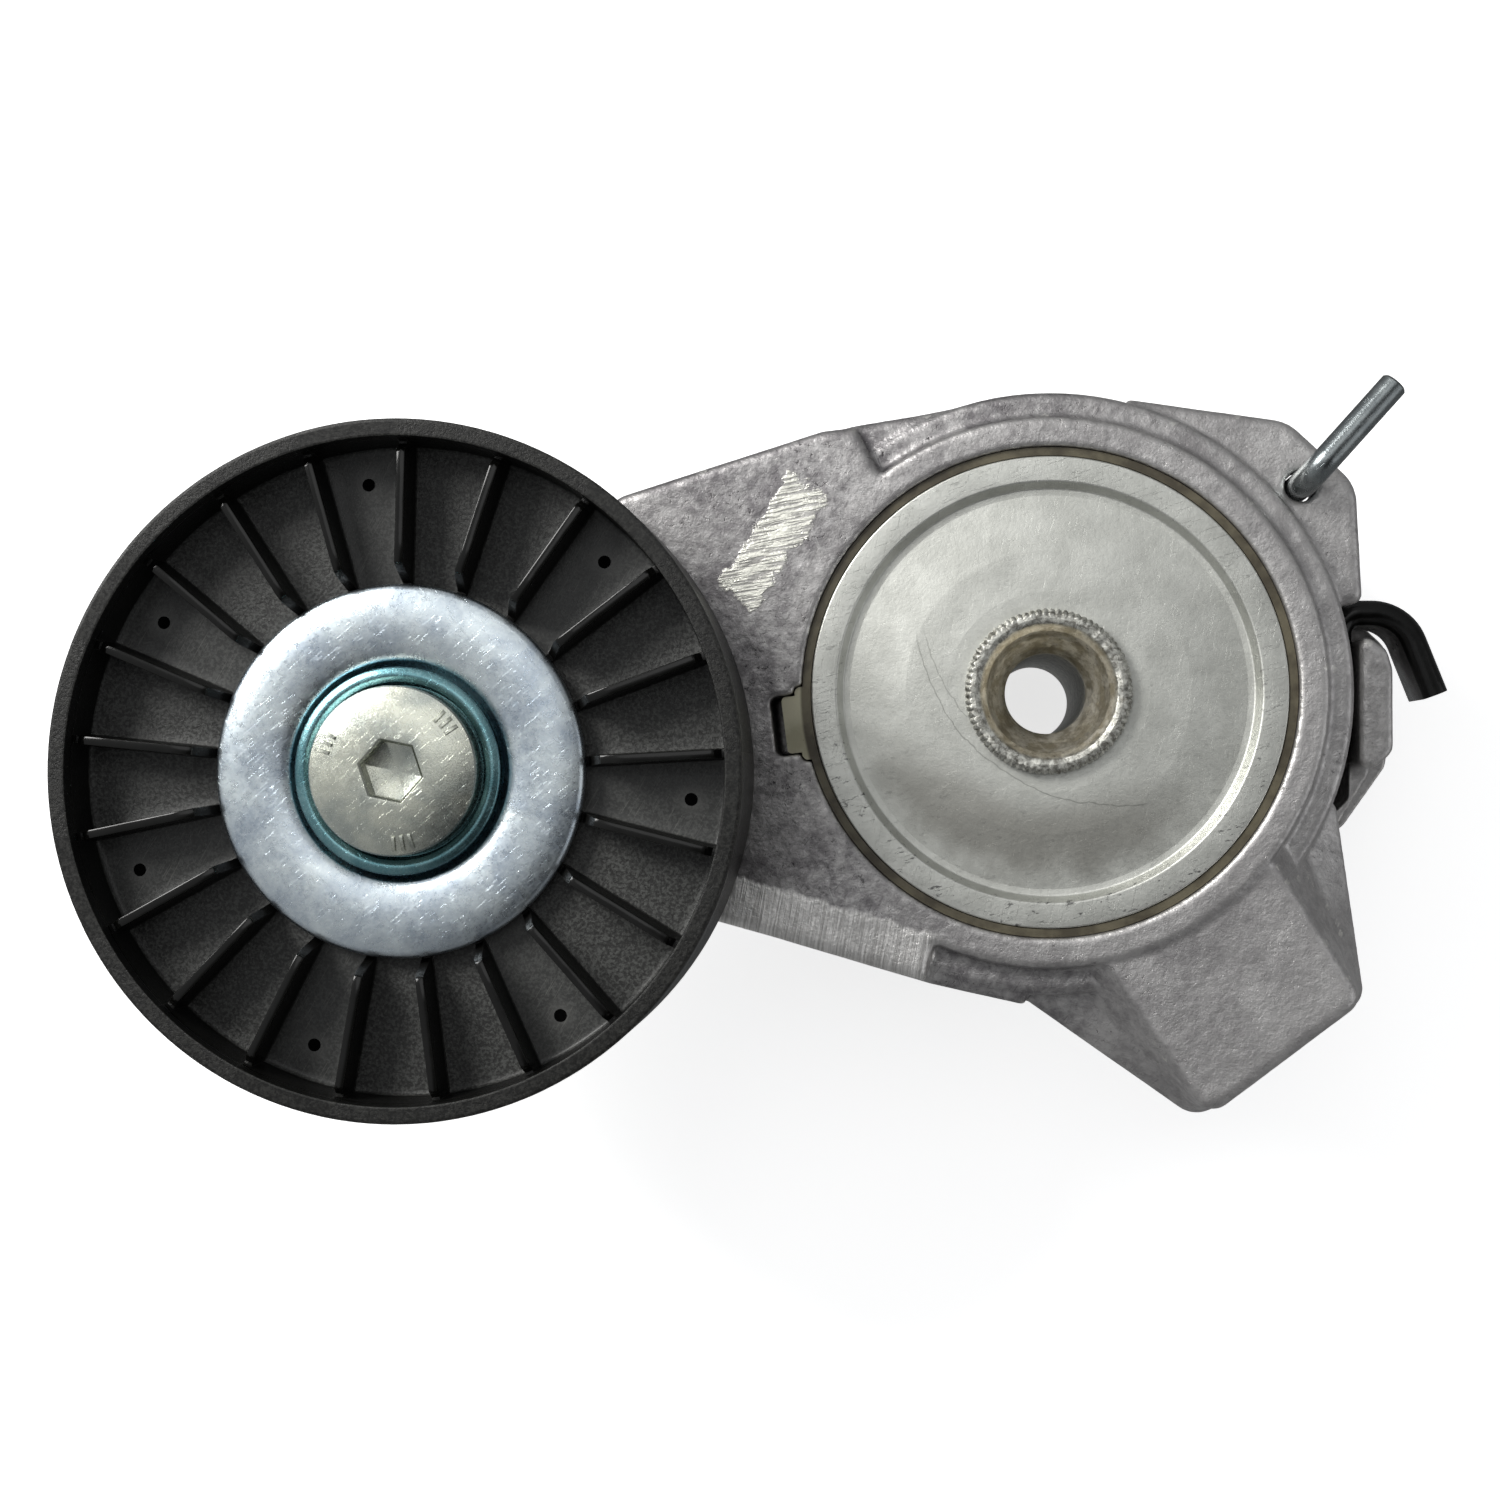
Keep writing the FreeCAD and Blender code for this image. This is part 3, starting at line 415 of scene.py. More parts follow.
def worked_areas_and_shade(s, colour, rough, normal):
    """Painted shade beside the pulley, a fettled strip on the bar and a scraped patch above it."""
    # Painted shade: the arm is darkened next to the pulley, more so towards -Y, where the pulley
    # shades it.
    painted_pulley_shade = s.ramp(s.radius(PULLEY_AXIS), PULLEY_R + 17, PULLEY_R + 1, 0.0, 0.55)
    painted_pulley_shade = s.math("MULTIPLY", painted_pulley_shade, s.ramp(s.split()[1], 14.0, -12.0, 0.25, 1.0))
    colour = s.mix(painted_pulley_shade, colour, tone(74, 72, 72))
    on_ring = s.band(s.radius(), RING_WALL_R, RING_WALL_R + 3.5, 0.4)
    on_ring = s.math("MULTIPLY", on_ring, s.ramp(s.split()[2], 48.8, 49.5))
    colour = s.mix(s.math("MULTIPLY", on_ring, 0.14), colour, tone(222, 220, 217))
    strip_start, strip_end = (-48.0, -30.0), (-15.0, -39.3)
    along, off, z = along_and_off(s, strip_start, strip_end)
    ragged = s.math("MULTIPLY", s.noise((2.0, 5.0, 5.0), 3.0), 2.4)
    strip = s.band(s.math("ADD", off, ragged), -2.0, 7.6, 0.5)
    strip = s.math("MULTIPLY", strip, s.band(along, 1.0, 33.0, 1.2))
    strip = s.math("MULTIPLY", strip, s.ramp(z, 43.2, 44.0))
    grind = s.noise((0.24, 9.0, 9.0), 3.0, 0.6, -10, 4)
    ground = s.mix(s.ramp(grind, 0.34, 0.66), tone(200, 198, 195), tone(252, 250, 247))
    colour = s.mix(s.math("MULTIPLY", strip, 0.95), colour, ground)
    patch_start, patch_end = (-41.5, 12.5), (-31.5, 28.5)
    along, off, z = along_and_off(s, patch_start, patch_end)
    wobble = s.math("MULTIPLY", s.math("SUBTRACT", s.noise(2.6, 4.0, 0.7, shift=8), 0.5), 5.0)
    patch = s.band(s.math("ADD", off, wobble), -2.8, 3.4, 0.25)
    patch = s.math("MULTIPLY", patch, s.band(s.math("ADD", along, wobble), 0.4, 18.2, 0.3))
    strokes = s.ramp(s.noise((4.2, 0.34, 4.2), 2.0, 0.5, 10, 14), 0.40, 0.56, 0.25, 1.0)
    patch = s.math("MULTIPLY", s.math("MULTIPLY", patch, strokes), s.ramp(z, 48.9, 49.5))
    colour = s.mix(patch, colour, tone(250, 249, 238))
    rough = s.lerp(s.math("MAXIMUM", strip, patch), rough, 0.34)
    normal = s.bump(s.math("MULTIPLY", strip, grind), 0.10, normal)
    normal = s.bump(patch, 0.05, normal)
    return colour, rough, normal


def disc_zinc():
    """Satin zinc pressing: matte dish, brighter band, handling scuffs, dark smears and painted
    shade below the collar.
    """
    s = Shader("disc_zinc_satin")
    radius = s.radius()
    grain = s.noise(0.55, 3.0, 0.65)
    clouds = s.noise(7.0, 4.0, 0.6, shift=2)
    colour = s.mix(s.ramp(clouds, 0.35, 0.65), tone(196, 197, 191), tone(211, 212, 206))
    dish = s.ramp(radius, DISH_R - 0.6, DISH_R + 0.4, 1.0, 0.0)
    smears = s.ramp(s.noise((1.7, 0.8, 1.0), 4.0, 0.72, 15, 5), 0.59, 0.67)
    x, y, _ = s.split()
    # Painted shade: a darker crescent on the dish below the collar.
    shade_ring_radius = s.math("ADD", radius, s.math("MULTIPLY", clouds, 6.0))
    below_collar = s.ramp(s.math("ADD", y, s.math("MULTIPLY", x, 0.15)), -7.0, -18.0)
    painted_low_shade = s.math("MULTIPLY", s.band(shade_ring_radius, 18.5, 27.5, 2.5), below_collar)
    colour = s.mix(s.math("MULTIPLY", painted_low_shade, 0.6), colour, tone(132, 129, 122))
    on_band = s.ramp(radius, DISH_R, BAND_R, 0.25, 1.0)
    low_side = s.ramp(y, 20.0, -20.0, 0.2, 0.85)
    smears = s.math("MULTIPLY", s.math("MULTIPLY", smears, on_band), low_side)
    colour = s.mix(smears, colour, tone(84, 84, 84))
    nicks = s.math("MAXIMUM", s.scratches(0.09, 3.0, 18, 0.045, 3),
                   s.scratches(0.08, 4.0, 78, 0.05, 9))
    nicks = s.math("MULTIPLY", nicks, on_band)
    colour = s.mix(s.math("MULTIPLY", nicks, 0.35), colour, tone(120, 121, 118))
    drag = s.noise(3.0, 2.0, shift=12)
    for (centre, reach, width, left, right) in DISC_SCRATCHES:
        path = s.math("ADD", s.radius(centre), s.math("MULTIPLY", drag, 1.1))
        arc = s.band(path, reach + 0.55 - width, reach + 0.55 + width, 0.08)
        arc = s.math("MULTIPLY", arc, s.band(x, left, right, 0.6))
        arc = s.math("MULTIPLY", arc, s.ramp(y, 9.0, 7.0))
        colour = s.mix(s.math("MULTIPLY", arc, 0.55), colour, tone(112, 114, 108))
    worn = s.edges(0.5)
    colour = s.mix(s.math("MULTIPLY", worn, 0.5), colour, tone(236, 236, 232))
    rough = s.math("ADD", s.ramp(grain, 0.3, 0.7, 0.38, 0.46), s.math("MULTIPLY", dish, 0.08))
    normal = s.bump(s.noise(6.0, 2.0, shift=6), 0.10)
    normal = s.bump(grain, 0.03, normal)
    normal = s.bump(nicks, -0.02, normal)
    return s.set(colour=colour, metal=0.92, rough=rough, normal=normal)


def plated(name, tint, deep, rough_low, rough_high, at, grain, spangle):
    """Bright zinc plate: crystalline spangle, faint turning marks, fine nicks."""
    s = Shader(name)
    cell = s.cells(grain * 0.4)
    cell_value = s.node("ShaderNodeRGBToBW", {0: cell})
    cloud = s.noise(7.0, 3.0, 0.6, warp=0.5)
    colour = s.mix(s.ramp(cloud, 0.3, 0.7), deep, tint)
    speck = s.math("MULTIPLY", s.ramp(cell_value, 0.3, 0.8), spangle)
    colour = s.mix(s.math("MULTIPLY", speck, 0.6), colour, tone(250, 252, 250))
    dirt = s.math("MULTIPLY", s.ramp(s.noise(0.6, 3.0, 0.7, shift=5), 0.62, 0.74), 0.2)
    colour = s.mix(dirt, colour, deep)
    uneven = s.math("ADD", s.math("MULTIPLY", cell_value, 0.35), s.noise(1.2, 3.0))
    rough = s.ramp(uneven, 0.35, 1.1, rough_low, rough_high)
    nicks = s.math("MAXIMUM", s.scratches(0.07, 3.0, 40, 0.06, 2),
                   s.scratches(0.07, 4.0, 130, 0.055, 7))
    normal = s.bump(s.noise(grain * 0.45, 3.0, 0.7, shift=3), 0.018)
    normal = s.bump(s.noise(5.0, 2.0, shift=8), 0.05, normal)
    normal = s.bump(s.rings(at, 0.5, 1.0), 0.006, normal)
    normal = s.bump(nicks, -0.006, normal)
    return s.set(colour=colour, metal=1.0, rough=rough, normal=normal)


def mark_distance(s, angle):
    """Distance in the plane from the nearest gate mark, in millimetres."""
    pitch = TAU / GATE_MARKS
    swing = s.math("SUBTRACT", angle, math.radians(GATE_PHASE) - pitch / 2)
    swing = s.math("SUBTRACT", s.math("FLOORED_MODULO", swing, pitch), pitch / 2)
    across = s.math("MULTIPLY", swing, GATE_MARK_AT)
    out = s.math("SUBTRACT", s.radius(PULLEY_AXIS), GATE_MARK_AT)
    squares = s.math("ADD", s.math("MULTIPLY", across, across), s.math("MULTIPLY", out, out))
    return s.math("SQRT", squares)


def pulley_nylon():
    """Glass-filled black nylon: grained web, smoother gated pockets, glossy dark crests."""
    s = Shader("pulley_nylon_black")
    x, y, z = s.split()
    angle = s.math("ARCTAN2", s.math("SUBTRACT", y, PULLEY_AXIS[1]),
                   s.math("SUBTRACT", x, PULLEY_AXIS[0]))
    turns = s.math("DIVIDE", s.math("SUBTRACT", angle, math.radians(RIB_PHASE)), TAU / RIBS)
    third = s.math("FLOORED_MODULO", s.math("FLOOR", turns), 3.0)
    gated = s.math("COMPARE", third, 2.0, 0.1)
    grain = s.noise(0.42, 3.0, 0.7)
    flow = s.noise((2.2, 9.0, 9.0), 4.0, 0.6, shift=3)
    walls = s.mix(s.ramp(flow, 0.35, 0.7), tone(7, 7, 6), tone(12, 12, 11))
    web = s.mix(s.ramp(grain, 0.42, 0.62), tone(42, 42, 41), tone(78, 79, 77))
    web = s.mix(s.math("MULTIPLY", gated, 0.4), web, tone(68, 69, 68))
    on_web = s.math("MULTIPLY", s.band(z, WEB_LOW - 0.5, WEB_HIGH + 0.5, 0.2),
                    s.ramp(s.radius(PULLEY_AXIS), PULLEY_R - RIM + 0.3, PULLEY_R - RIM - 0.1))
    colour = s.mix(on_web, walls, web)
    rim_top = s.ramp(z, PULLEY_HIGH - 0.4, PULLEY_HIGH - 0.05)
    rim = s.mix(s.ramp(grain, 0.4, 0.64), tone(16, 16, 15), tone(40, 40, 38))
    colour = s.mix(rim_top, colour, rim)
    rubbed = s.edges(0.15, 0.03, 0.3)
    colour = s.mix(s.math("MULTIPLY", rubbed, 0.16), colour, tone(104, 104, 100))
    around_mark = s.math("MULTIPLY", on_web, s.ramp(mark_distance(s, angle), 2.8, 0.7))
    colour = s.mix(s.math("MULTIPLY", around_mark, 0.5), colour, tone(92, 92, 90))
    scuffs = s.math("MULTIPLY", s.math("MULTIPLY", on_web, gated),
                    s.scratches(0.12, 4.0, 60, 0.09, 3))
    colour = s.mix(s.math("MULTIPLY", scuffs, 0.4), colour, tone(110, 110, 106))
    rough = s.math("ADD", s.ramp(grain, 0.3, 0.7, 0.38, 0.50), s.math("MULTIPLY", gated, -0.05))
    crest = s.band(z, CREST_Z - 0.4, CREST_Z + 0.25, 0.1)
    rough = s.lerp(crest, rough, 0.16)
    skin = s.math("SUBTRACT", 1.0, s.math("MAXIMUM", s.math("MULTIPLY", gated, 0.7), crest))
    normal = s.bump(s.noise(6.0, 2.0, shift=9), 0.12)
    normal = s.bump(s.math("MULTIPLY", grain, skin), 0.10, normal)
    normal = s.bump(s.noise((14, 14, 0.35), 2.0), 0.02, normal)
    return s.set(colour=colour, metal=0.0, rough=rough, normal=normal, specular=0.32)


def polymer(name, light, dark, rough, specular=0.5):
    """Moulded plastic: slow colour drift, fine skin, rubbed edges and a few dark specks."""
    s = Shader(name)
    drift = s.ramp(s.noise(6.0, 4.0, 0.6), 0.35, 0.65)
    colour = s.mix(drift, dark, light)
    specks = s.ramp(s.noise(0.6, 2.0, 0.8, shift=4), 0.66, 0.74)
    colour = s.mix(s.math("MULTIPLY", specks, 0.35), colour, tone(46, 44, 38))
    rubbed = s.math("MULTIPLY", s.edges(0.4), 0.3)
    colour = s.mix(rubbed, colour, light)
    skin = s.noise(0.5, 3.0, 0.6, shift=2)
    normal = s.bump(s.noise(4.0, 2.0), 0.06)
    normal = s.bump(skin, 0.02, normal)
    return s.set(colour=colour, rough=s.ramp(skin, 0.3, 0.7, rough - 0.06, rough + 0.08),
                 normal=normal, specular=specular)


def ring_nylon():
    """Natural nylon: plain tan on the key, with painted shade making the lip dark brown."""
    s = Shader("ring_nylon_natural")
    drift = s.ramp(s.noise(5.0, 4.0, 0.6), 0.35, 0.65)
    ring_tan_colour = s.mix(drift, tone(152, 148, 124), tone(178, 174, 150))
    # Painted shade: the lip, low under the disc's edge, is darkened in the colour.
    lip_shade_colour = s.mix(drift, tone(62, 56, 42), tone(96, 90, 72))
    colour = s.mix(s.ramp(s.radius(), RING_LIP_R, RING_LIP_R + 0.5), lip_shade_colour, ring_tan_colour)
    specks = s.ramp(s.noise(0.6, 2.0, 0.8, shift=4), 0.66, 0.74)
    colour = s.mix(s.math("MULTIPLY", specks, 0.35), colour, tone(46, 44, 38))
    skin = s.noise(0.5, 3.0, 0.6, shift=2)
    return s.set(colour=colour, rough=s.ramp(skin, 0.3, 0.7, 0.44, 0.56),
                 normal=s.bump(skin, 0.02))


def steel(name, light, dark, rough, at):
    """Machined or rolled steel: turning marks, stains, bright edges."""
    s = Shader(name)
    stain = s.ramp(s.noise(3.0, 5.0, 0.65, warp=0.4), 0.35, 0.68)
    colour = s.mix(stain, dark, light)
    rings = s.rings(at, 0.3, 2.0)
    colour = s.mix(s.ramp(rings, 0.4, 0.7, 0.0, 0.22), colour, dark)
    colour = s.mix(s.math("MULTIPLY", s.edges(0.3), 0.6), colour, tone(228, 228, 224))
    grain = s.noise(0.4, 3.0, 0.6, shift=4)
    normal = s.bump(rings, 0.012)
    normal = s.bump(grain, 0.015, normal)
    return s.set(colour=colour, metal=0.95, normal=normal,
                 rough=s.ramp(grain, 0.3, 0.7, rough - 0.05, rough + 0.1))


def staked_steel(mouth):
    """Zinc-passivated tube end: crushed mottled rim and a yellow-brown cone inside."""
    s = Shader("tube_steel_staked")
    _, _, z = s.split()
    radius = s.radius()
    mottle = s.noise(0.9, 5.0, 0.75, warp=0.6)
    crushed = s.mix(s.ramp(mottle, 0.36, 0.62), tone(122, 120, 113), tone(204, 204, 197))
    stain = s.noise(2.2, 4.0, 0.65, shift=5)
    cone = s.mix(s.ramp(stain, 0.36, 0.64), tone(184, 176, 156), tone(240, 236, 224))
    inside = s.math("MULTIPLY", s.ramp(radius, mouth + 0.3, mouth - 0.3), s.ramp(z, 40.0, 42.0))
    colour = s.mix(inside, crushed, cone)
    specks = s.ramp(s.noise(0.5, 3.0, 0.7, shift=9), 0.6, 0.7)
    colour = s.mix(s.math("MULTIPLY", specks, 0.5), colour, tone(52, 50, 42))
    normal = s.bump(s.noise(0.6, 4.0, 0.7, shift=2), 0.07)
    rough = s.ramp(mottle, 0.3, 0.7, 0.36, 0.52)
    return s.set(colour=colour, metal=0.9, rough=rough, normal=normal)


def painted_spring():
    """Spring steel with glossy black paint, thin and rubbed on its edges."""
    s = Shader("spring_black_gloss")
    drift = s.noise(3.0, 4.0, 0.6)
    colour = s.mix(s.ramp(drift, 0.4, 0.65), tone(4, 4, 3), tone(10, 10, 9))
    chips = s.ramp(s.noise(0.8, 3.0, 0.7, shift=3), 0.70, 0.75)
    colour = s.mix(s.math("MULTIPLY", chips, 0.4), colour, tone(60, 58, 54))
    normal = s.bump(s.noise(1.6, 2.0, 0.5), 0.03)
    return s.set(colour=colour, metal=0.0, normal=normal, coat=0.15, coat_rough=0.10,
                 specular=0.25, rough=s.ramp(drift, 0.3, 0.7, 0.18, 0.28))


# ---- driving sizes of the visible pieces ---------------------------------------------

DISC_R = radius_of("cover_disc")
DISC_LOW, DISC_HIGH = levels("cover_disc")
BAND_R = 28.2
DISH_R = 27.4
DISH_DROP = 0.75
RING_LIP_R = 32.9
RING_WALL_R = 33.2
DISC_SCRATCHES = [((9.0, 11.6), 26.8, 0.07, -17.6, 12.8), ((6.0, 12.0), 22.7, 0.05, -16.4, -6.0)]

PULLEY_R = 45.0
PULLEY_LOW, PULLEY_HIGH = levels("pulley")
RIM = 2.25
WEB_LOW, WEB_HIGH = 61.4, 65.4
HUB_R = 23.3
HUB_LOW, HUB_HIGH = 54.2, 66.6
RIBS = 21
RIB_PHASE = 3.0
RIB_HALF = 0.575
RIB_DROP = 2.3
CREST_Z = PULLEY_HIGH - RIB_DROP
GATE_MARKS = RIBS // 3
GATE_MARK_AT = 37.9
GATE_PHASE = RIB_PHASE - 180 / RIBS
RACE_R = 20.0
RACE_SEAT_R = 18.6
RACE_LOW, RACE_HIGH = levels("bearing_outer_ring")

TUBE_R = 10.4
TUBE_NECK_R = 9.5
BORE_R = 5.5
CONE_FOOT = 44.0
COLLAR_R = 11.1
COLLAR_MOUTH = 8.9
COLLAR_TEETH = 76
TOOTH_DEPTH = 0.36
COLLAR_RISE, COLLAR_SPREAD = 0.14, 0.10     # unevenness left by the staking punch
TUBE_TOP = levels("pivot_tube")[1]


# ---- pulley --------------------------------------------------------------------------


def rib_stations(floor, crest, hub_face, sign):
    """(radius, floor level, rib level) from the hub to the rim wall on one side."""
    hub_rib = hub_face - 0.2 * sign
    end = crest - 1.3 * sign
    return [(HUB_R, hub_face - 0.3 * sign, hub_rib), (HUB_R + 0.15, floor + 0.4 * sign, hub_rib),
            (HUB_R + 0.45, floor + 0.08 * sign, hub_rib), (HUB_R + 0.9, floor, hub_rib),
            (HUB_R + 1.3, floor, hub_rib + 0.1 * sign), (HUB_R + 2.0, floor, hub_rib + 2.2 * sign),
            (HUB_R + 3.0, floor, crest - 0.9 * sign), (HUB_R + 3.5, floor, crest - 0.2 * sign),
            (HUB_R + 4.1, floor, crest), (30.0, floor, crest), (34.0, floor, crest),
            (38.0, floor, crest), (40.9, floor, crest), (41.3, floor, crest - 0.08 * sign),
            (41.6, floor, crest - 0.35 * sign), (41.95, floor + 0.03 * sign, end + 0.25 * sign),
            (42.2, floor + 0.12 * sign, end), (42.4, floor + 0.35 * sign, end),
            (42.5, floor + 0.8 * sign, end)]


def flat(points):
    """Stations with no rib: the same level all round."""
    return [(radius, level, level) for radius, level in points]


def pulley_profile():
    inner, rim_soft = PULLEY_R - RIM, 0.25
    front = rib_stations(WEB_HIGH, CREST_Z, HUB_HIGH, 1)
    rear = rib_stations(WEB_LOW, PULLEY_LOW + RIB_DROP, HUB_LOW, -1)
    lip = [(inner - 0.02, 0.3), (inner + 0.06, 0.06), (inner + rim_soft, 0.0),
           (inner + rim_soft + 0.06, 0.0), (PULLEY_R - 0.5, 0.0), (PULLEY_R - 0.44, 0.0),
           (PULLEY_R - 0.12, 0.1), (PULLEY_R, 0.36), (PULLEY_R, 0.5)]
    middle = (PULLEY_LOW + PULLEY_HIGH) / 2
    body = flat([(RACE_SEAT_R, RACE_HIGH + 0.02), (RACE_SEAT_R, HUB_HIGH), (HUB_R - 0.3, HUB_HIGH)])
    body += front
    body += flat([(r, PULLEY_HIGH - drop) for r, drop in lip])
    body += flat([(PULLEY_R, middle + 6), (PULLEY_R, middle), (PULLEY_R, middle - 6)])
    body += flat([(r, PULLEY_LOW + drop) for r, drop in reversed(lip)])
    body += rear[::-1]
    body += flat([(HUB_R - 0.3, HUB_LOW), (RACE_R, RACE_LOW + 1.0), (RACE_R, RACE_HIGH + 0.02)])
    return body


def pulley_mesh():
    """Ribbed wheel on a polar grid whose lines follow the parallel sides of the ribs."""
    profile = pulley_profile()
    flank = [(0.0, 1.0), (0.38, 1.0), (0.51, 0.993), (RIB_HALF, 0.97), (0.69, 0.07),
             (0.82, 0.02), (1.2, 0.0)]
    shares = (0.35, 0.7, 1.0)
    half_pitch = math.pi / RIBS
    half = [(offset, weight, 0.0) for offset, weight in flank]
    half += [(flank[-1][0], 0.0, share) for share in shares]
    lines = [(-offset, weight, -share) for offset, weight, share in half[:0:-1]] + half
    vertices = []
    for rib in range(RIBS):
        centre = math.radians(RIB_PHASE) + rib * 2 * half_pitch
        for offset, weight, share in lines[1:]:
            for radius, floor, crest in profile:
                swing = math.asin(offset / radius)
                rest = math.copysign(half_pitch, share) - swing if share else 0.0
                angle = centre + swing + abs(share) * rest
                level = floor + (crest - floor) * weight
                vertices.append((*polar(radius, math.degrees(angle), PULLEY_AXIS), level))
    rings = len(vertices) // len(profile)
    return mesh_object("pulley_wheel", vertices, tube_faces(rings, len(profile), True), 30.0)


black_nylon = pulley_nylon()
pulley = pulley_mesh()
dress(pulley, black_nylon, "pulley_assembly", "black_nylon", "pulley")

gate_dark = polymer("gate_mark_nylon", tone(2, 2, 2), tone(1, 1, 1), 0.9, 0.05)
for index in range(GATE_MARKS):
    angle = GATE_PHASE + index * 360 / GATE_MARKS
    mark = lathe(f"gate_mark_{index + 1}",
                 [(0, WEB_HIGH - 0.2, 0), (0.85, WEB_HIGH - 0.2, 0), (0.85, WEB_HIGH + 0.03, 0.04),
                  (0.72, WEB_HIGH + 0.06, 0.02), (0.62, WEB_HIGH + 0.03, 0.02),
                  (0, WEB_HIGH + 0.02, 0)], polar(GATE_MARK_AT, angle, PULLEY_AXIS), 24)
    mark.data.materials.append(gate_dark)
    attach(mark, "pulley_assembly")


# ---- bolt, washer and dust shields ---------------------------------------------------

shield_low, shield_high = levels("front_dust_shield")
SHIELD_R = radius_of("front_dust_shield")
SHOULDER_R = 14.3
CROWN_R = 19.4
CROWN_DROP = 0.75
CROWN_STATIONS = (23.9, 23.4, 22.6, 21.6, 20.6, 19.6, 18.6, 17.6, 16.6, 15.8, 15.1)
SHEET = 0.8
INNER_BORE = 8.5
SEAT_R = 13.6                   # where the shield's flat foot ends


def crown_level(radius):
    """Height of the shield's gently bulged face at that radius."""
    side = SHIELD_R - CROWN_R if radius > CROWN_R else CROWN_R - SHOULDER_R
    return shield_high - CROWN_DROP * (abs(radius - CROWN_R) / side) ** 2.2


front_shield = lathe("front_shield", [
    (INNER_BORE, shield_low, 0), (SEAT_R, shield_low, 0.4),
    (SHOULDER_R + 0.4, shield_high - SHEET - 0.5, 0.5),
    (SHOULDER_R + 1.2, shield_high - SHEET, 0.5),
    (SHIELD_R - 1.5, shield_high - SHEET - 0.5, 0.5), (SHIELD_R - SHEET, shield_high - 2.4, 0),
    (SHIELD_R, shield_high - 2.4, 0.2), (SHIELD_R, shield_high - CROWN_DROP - 0.3, 0.5),
    *((r, crown_level(r), 0) for r in CROWN_STATIONS),
    (SHOULDER_R + 0.1, crown_level(SHOULDER_R) - 0.1, 0.4), (13.5, shield_low + SHEET + 0.4, 0.4),
    (13.0, shield_low + SHEET, 0.3), (INNER_BORE, shield_low + SHEET, 0)], PULLEY_AXIS, 320)
blue_zinc = plated("shield_zinc_blue", tone(212, 222, 226), tone(166, 178, 190), 0.25, 0.36,
                   PULLEY_AXIS, 0.6, 0.22)
dress(front_shield, blue_zinc, "arm_assembly", "blue_zinc", "front_dust_shield")

washer_low, washer_high = levels("cup_washer")
WASHER_R = radius_of("cup_washer") + 0.2
bolt_low, bolt_high = levels("pulley_bolt")
HEAD_R = radius_of("pulley_bolt")
HEAD_LOW = 67.5
WASHER_BORE = 5.2
cup = lathe("cup_washer_ring", [
    (WASHER_BORE, washer_low, 0), (WASHER_R - 0.9, washer_low, 0.3),
    (WASHER_R - 0.1, washer_low + 1.6, 0.6),
    (WASHER_R, washer_high - 0.4, 0.3), (WASHER_R - 1.2, washer_high, 2.0),
    (HEAD_R + 0.5, washer_high - 0.6, 0.5),
    (HEAD_R + 0.3, HEAD_LOW, 0.1), (WASHER_BORE, HEAD_LOW, 0)], PULLEY_AXIS, 288)
teal_zinc = plated("washer_zinc_teal", tone(124, 166, 172), tone(90, 134, 142), 0.22, 0.32,
                   PULLEY_AXIS, 0.5, 0.08)
dress(cup, teal_zinc, "arm_assembly", "teal_zinc", "cup_washer")

HEX_FLAT = 7.0 / 2
HEX_DEPTH = 3.6
HEX_TIP = 0.9
HEX_TURN = math.radians(48.5)
HEAD_DOME = 0.95
HEAD_STATIONS = (HEAD_R - 0.2, 10.0, 9.0, 8.0, 7.0, 6.0, 5.0, 4.4)
MARK_GROUPS = (41, 157, 279)    # directions of the raised bars, in degrees
MARK_STEP = 7
MARK_RING = HEAD_R - 1.6
MARK_LENGTH, MARK_WIDTH = 1.9, 0.48


def head_level(radius):
    """Height of the bolt head's domed top at that radius."""
    share = (radius - HEX_FLAT) / (HEAD_R - HEX_FLAT)
    return bolt_high - HEAD_DOME * max(0.0, share) ** 2


def hexagon(radius, height, angle):
    """Turns the socket's round corners into a hexagon of the same flat distance."""
    if radius > 0.1 and radius < HEX_FLAT + 0.6 and height > bolt_high - HEX_DEPTH - 0.1:
        wedge = (angle - HEX_TURN) % (TAU / 6) - TAU / 12
        radius /= math.cos(wedge)
    return radius, height


bolt = lathe("pulley_bolt_head", [
    (0, bolt_low, 0), (4.0, bolt_low, 0), (5.0, bolt_low + 1, 0), (5.0, HEAD_LOW, 0),
    (HEAD_R - 0.2, HEAD_LOW, 0.2), (HEAD_R, HEAD_LOW + 0.4, 0.2),
    (HEAD_R, bolt_high - HEAD_DOME - 0.3, 0.15),
    *((r, head_level(r), 0) for r in HEAD_STATIONS),
    (HEX_FLAT + 0.3, bolt_high - 0.02, 0.1),
    (HEX_FLAT, bolt_high - 0.35, 0.08), (HEX_FLAT, bolt_high - HEX_DEPTH, 0),
    (0, bolt_high - HEX_DEPTH - HEX_TIP, 0)], PULLEY_AXIS, 288, HEX_TURN, hexagon)
bolt_zinc = plated("bolt_zinc_yellow", tone(206, 208, 194), tone(164, 170, 164), 0.22, 0.32,
                   PULLEY_AXIS, 0.5, 0.12)
dress(bolt, bolt_zinc, "arm_assembly", "yellow_zinc", "pulley_bolt")


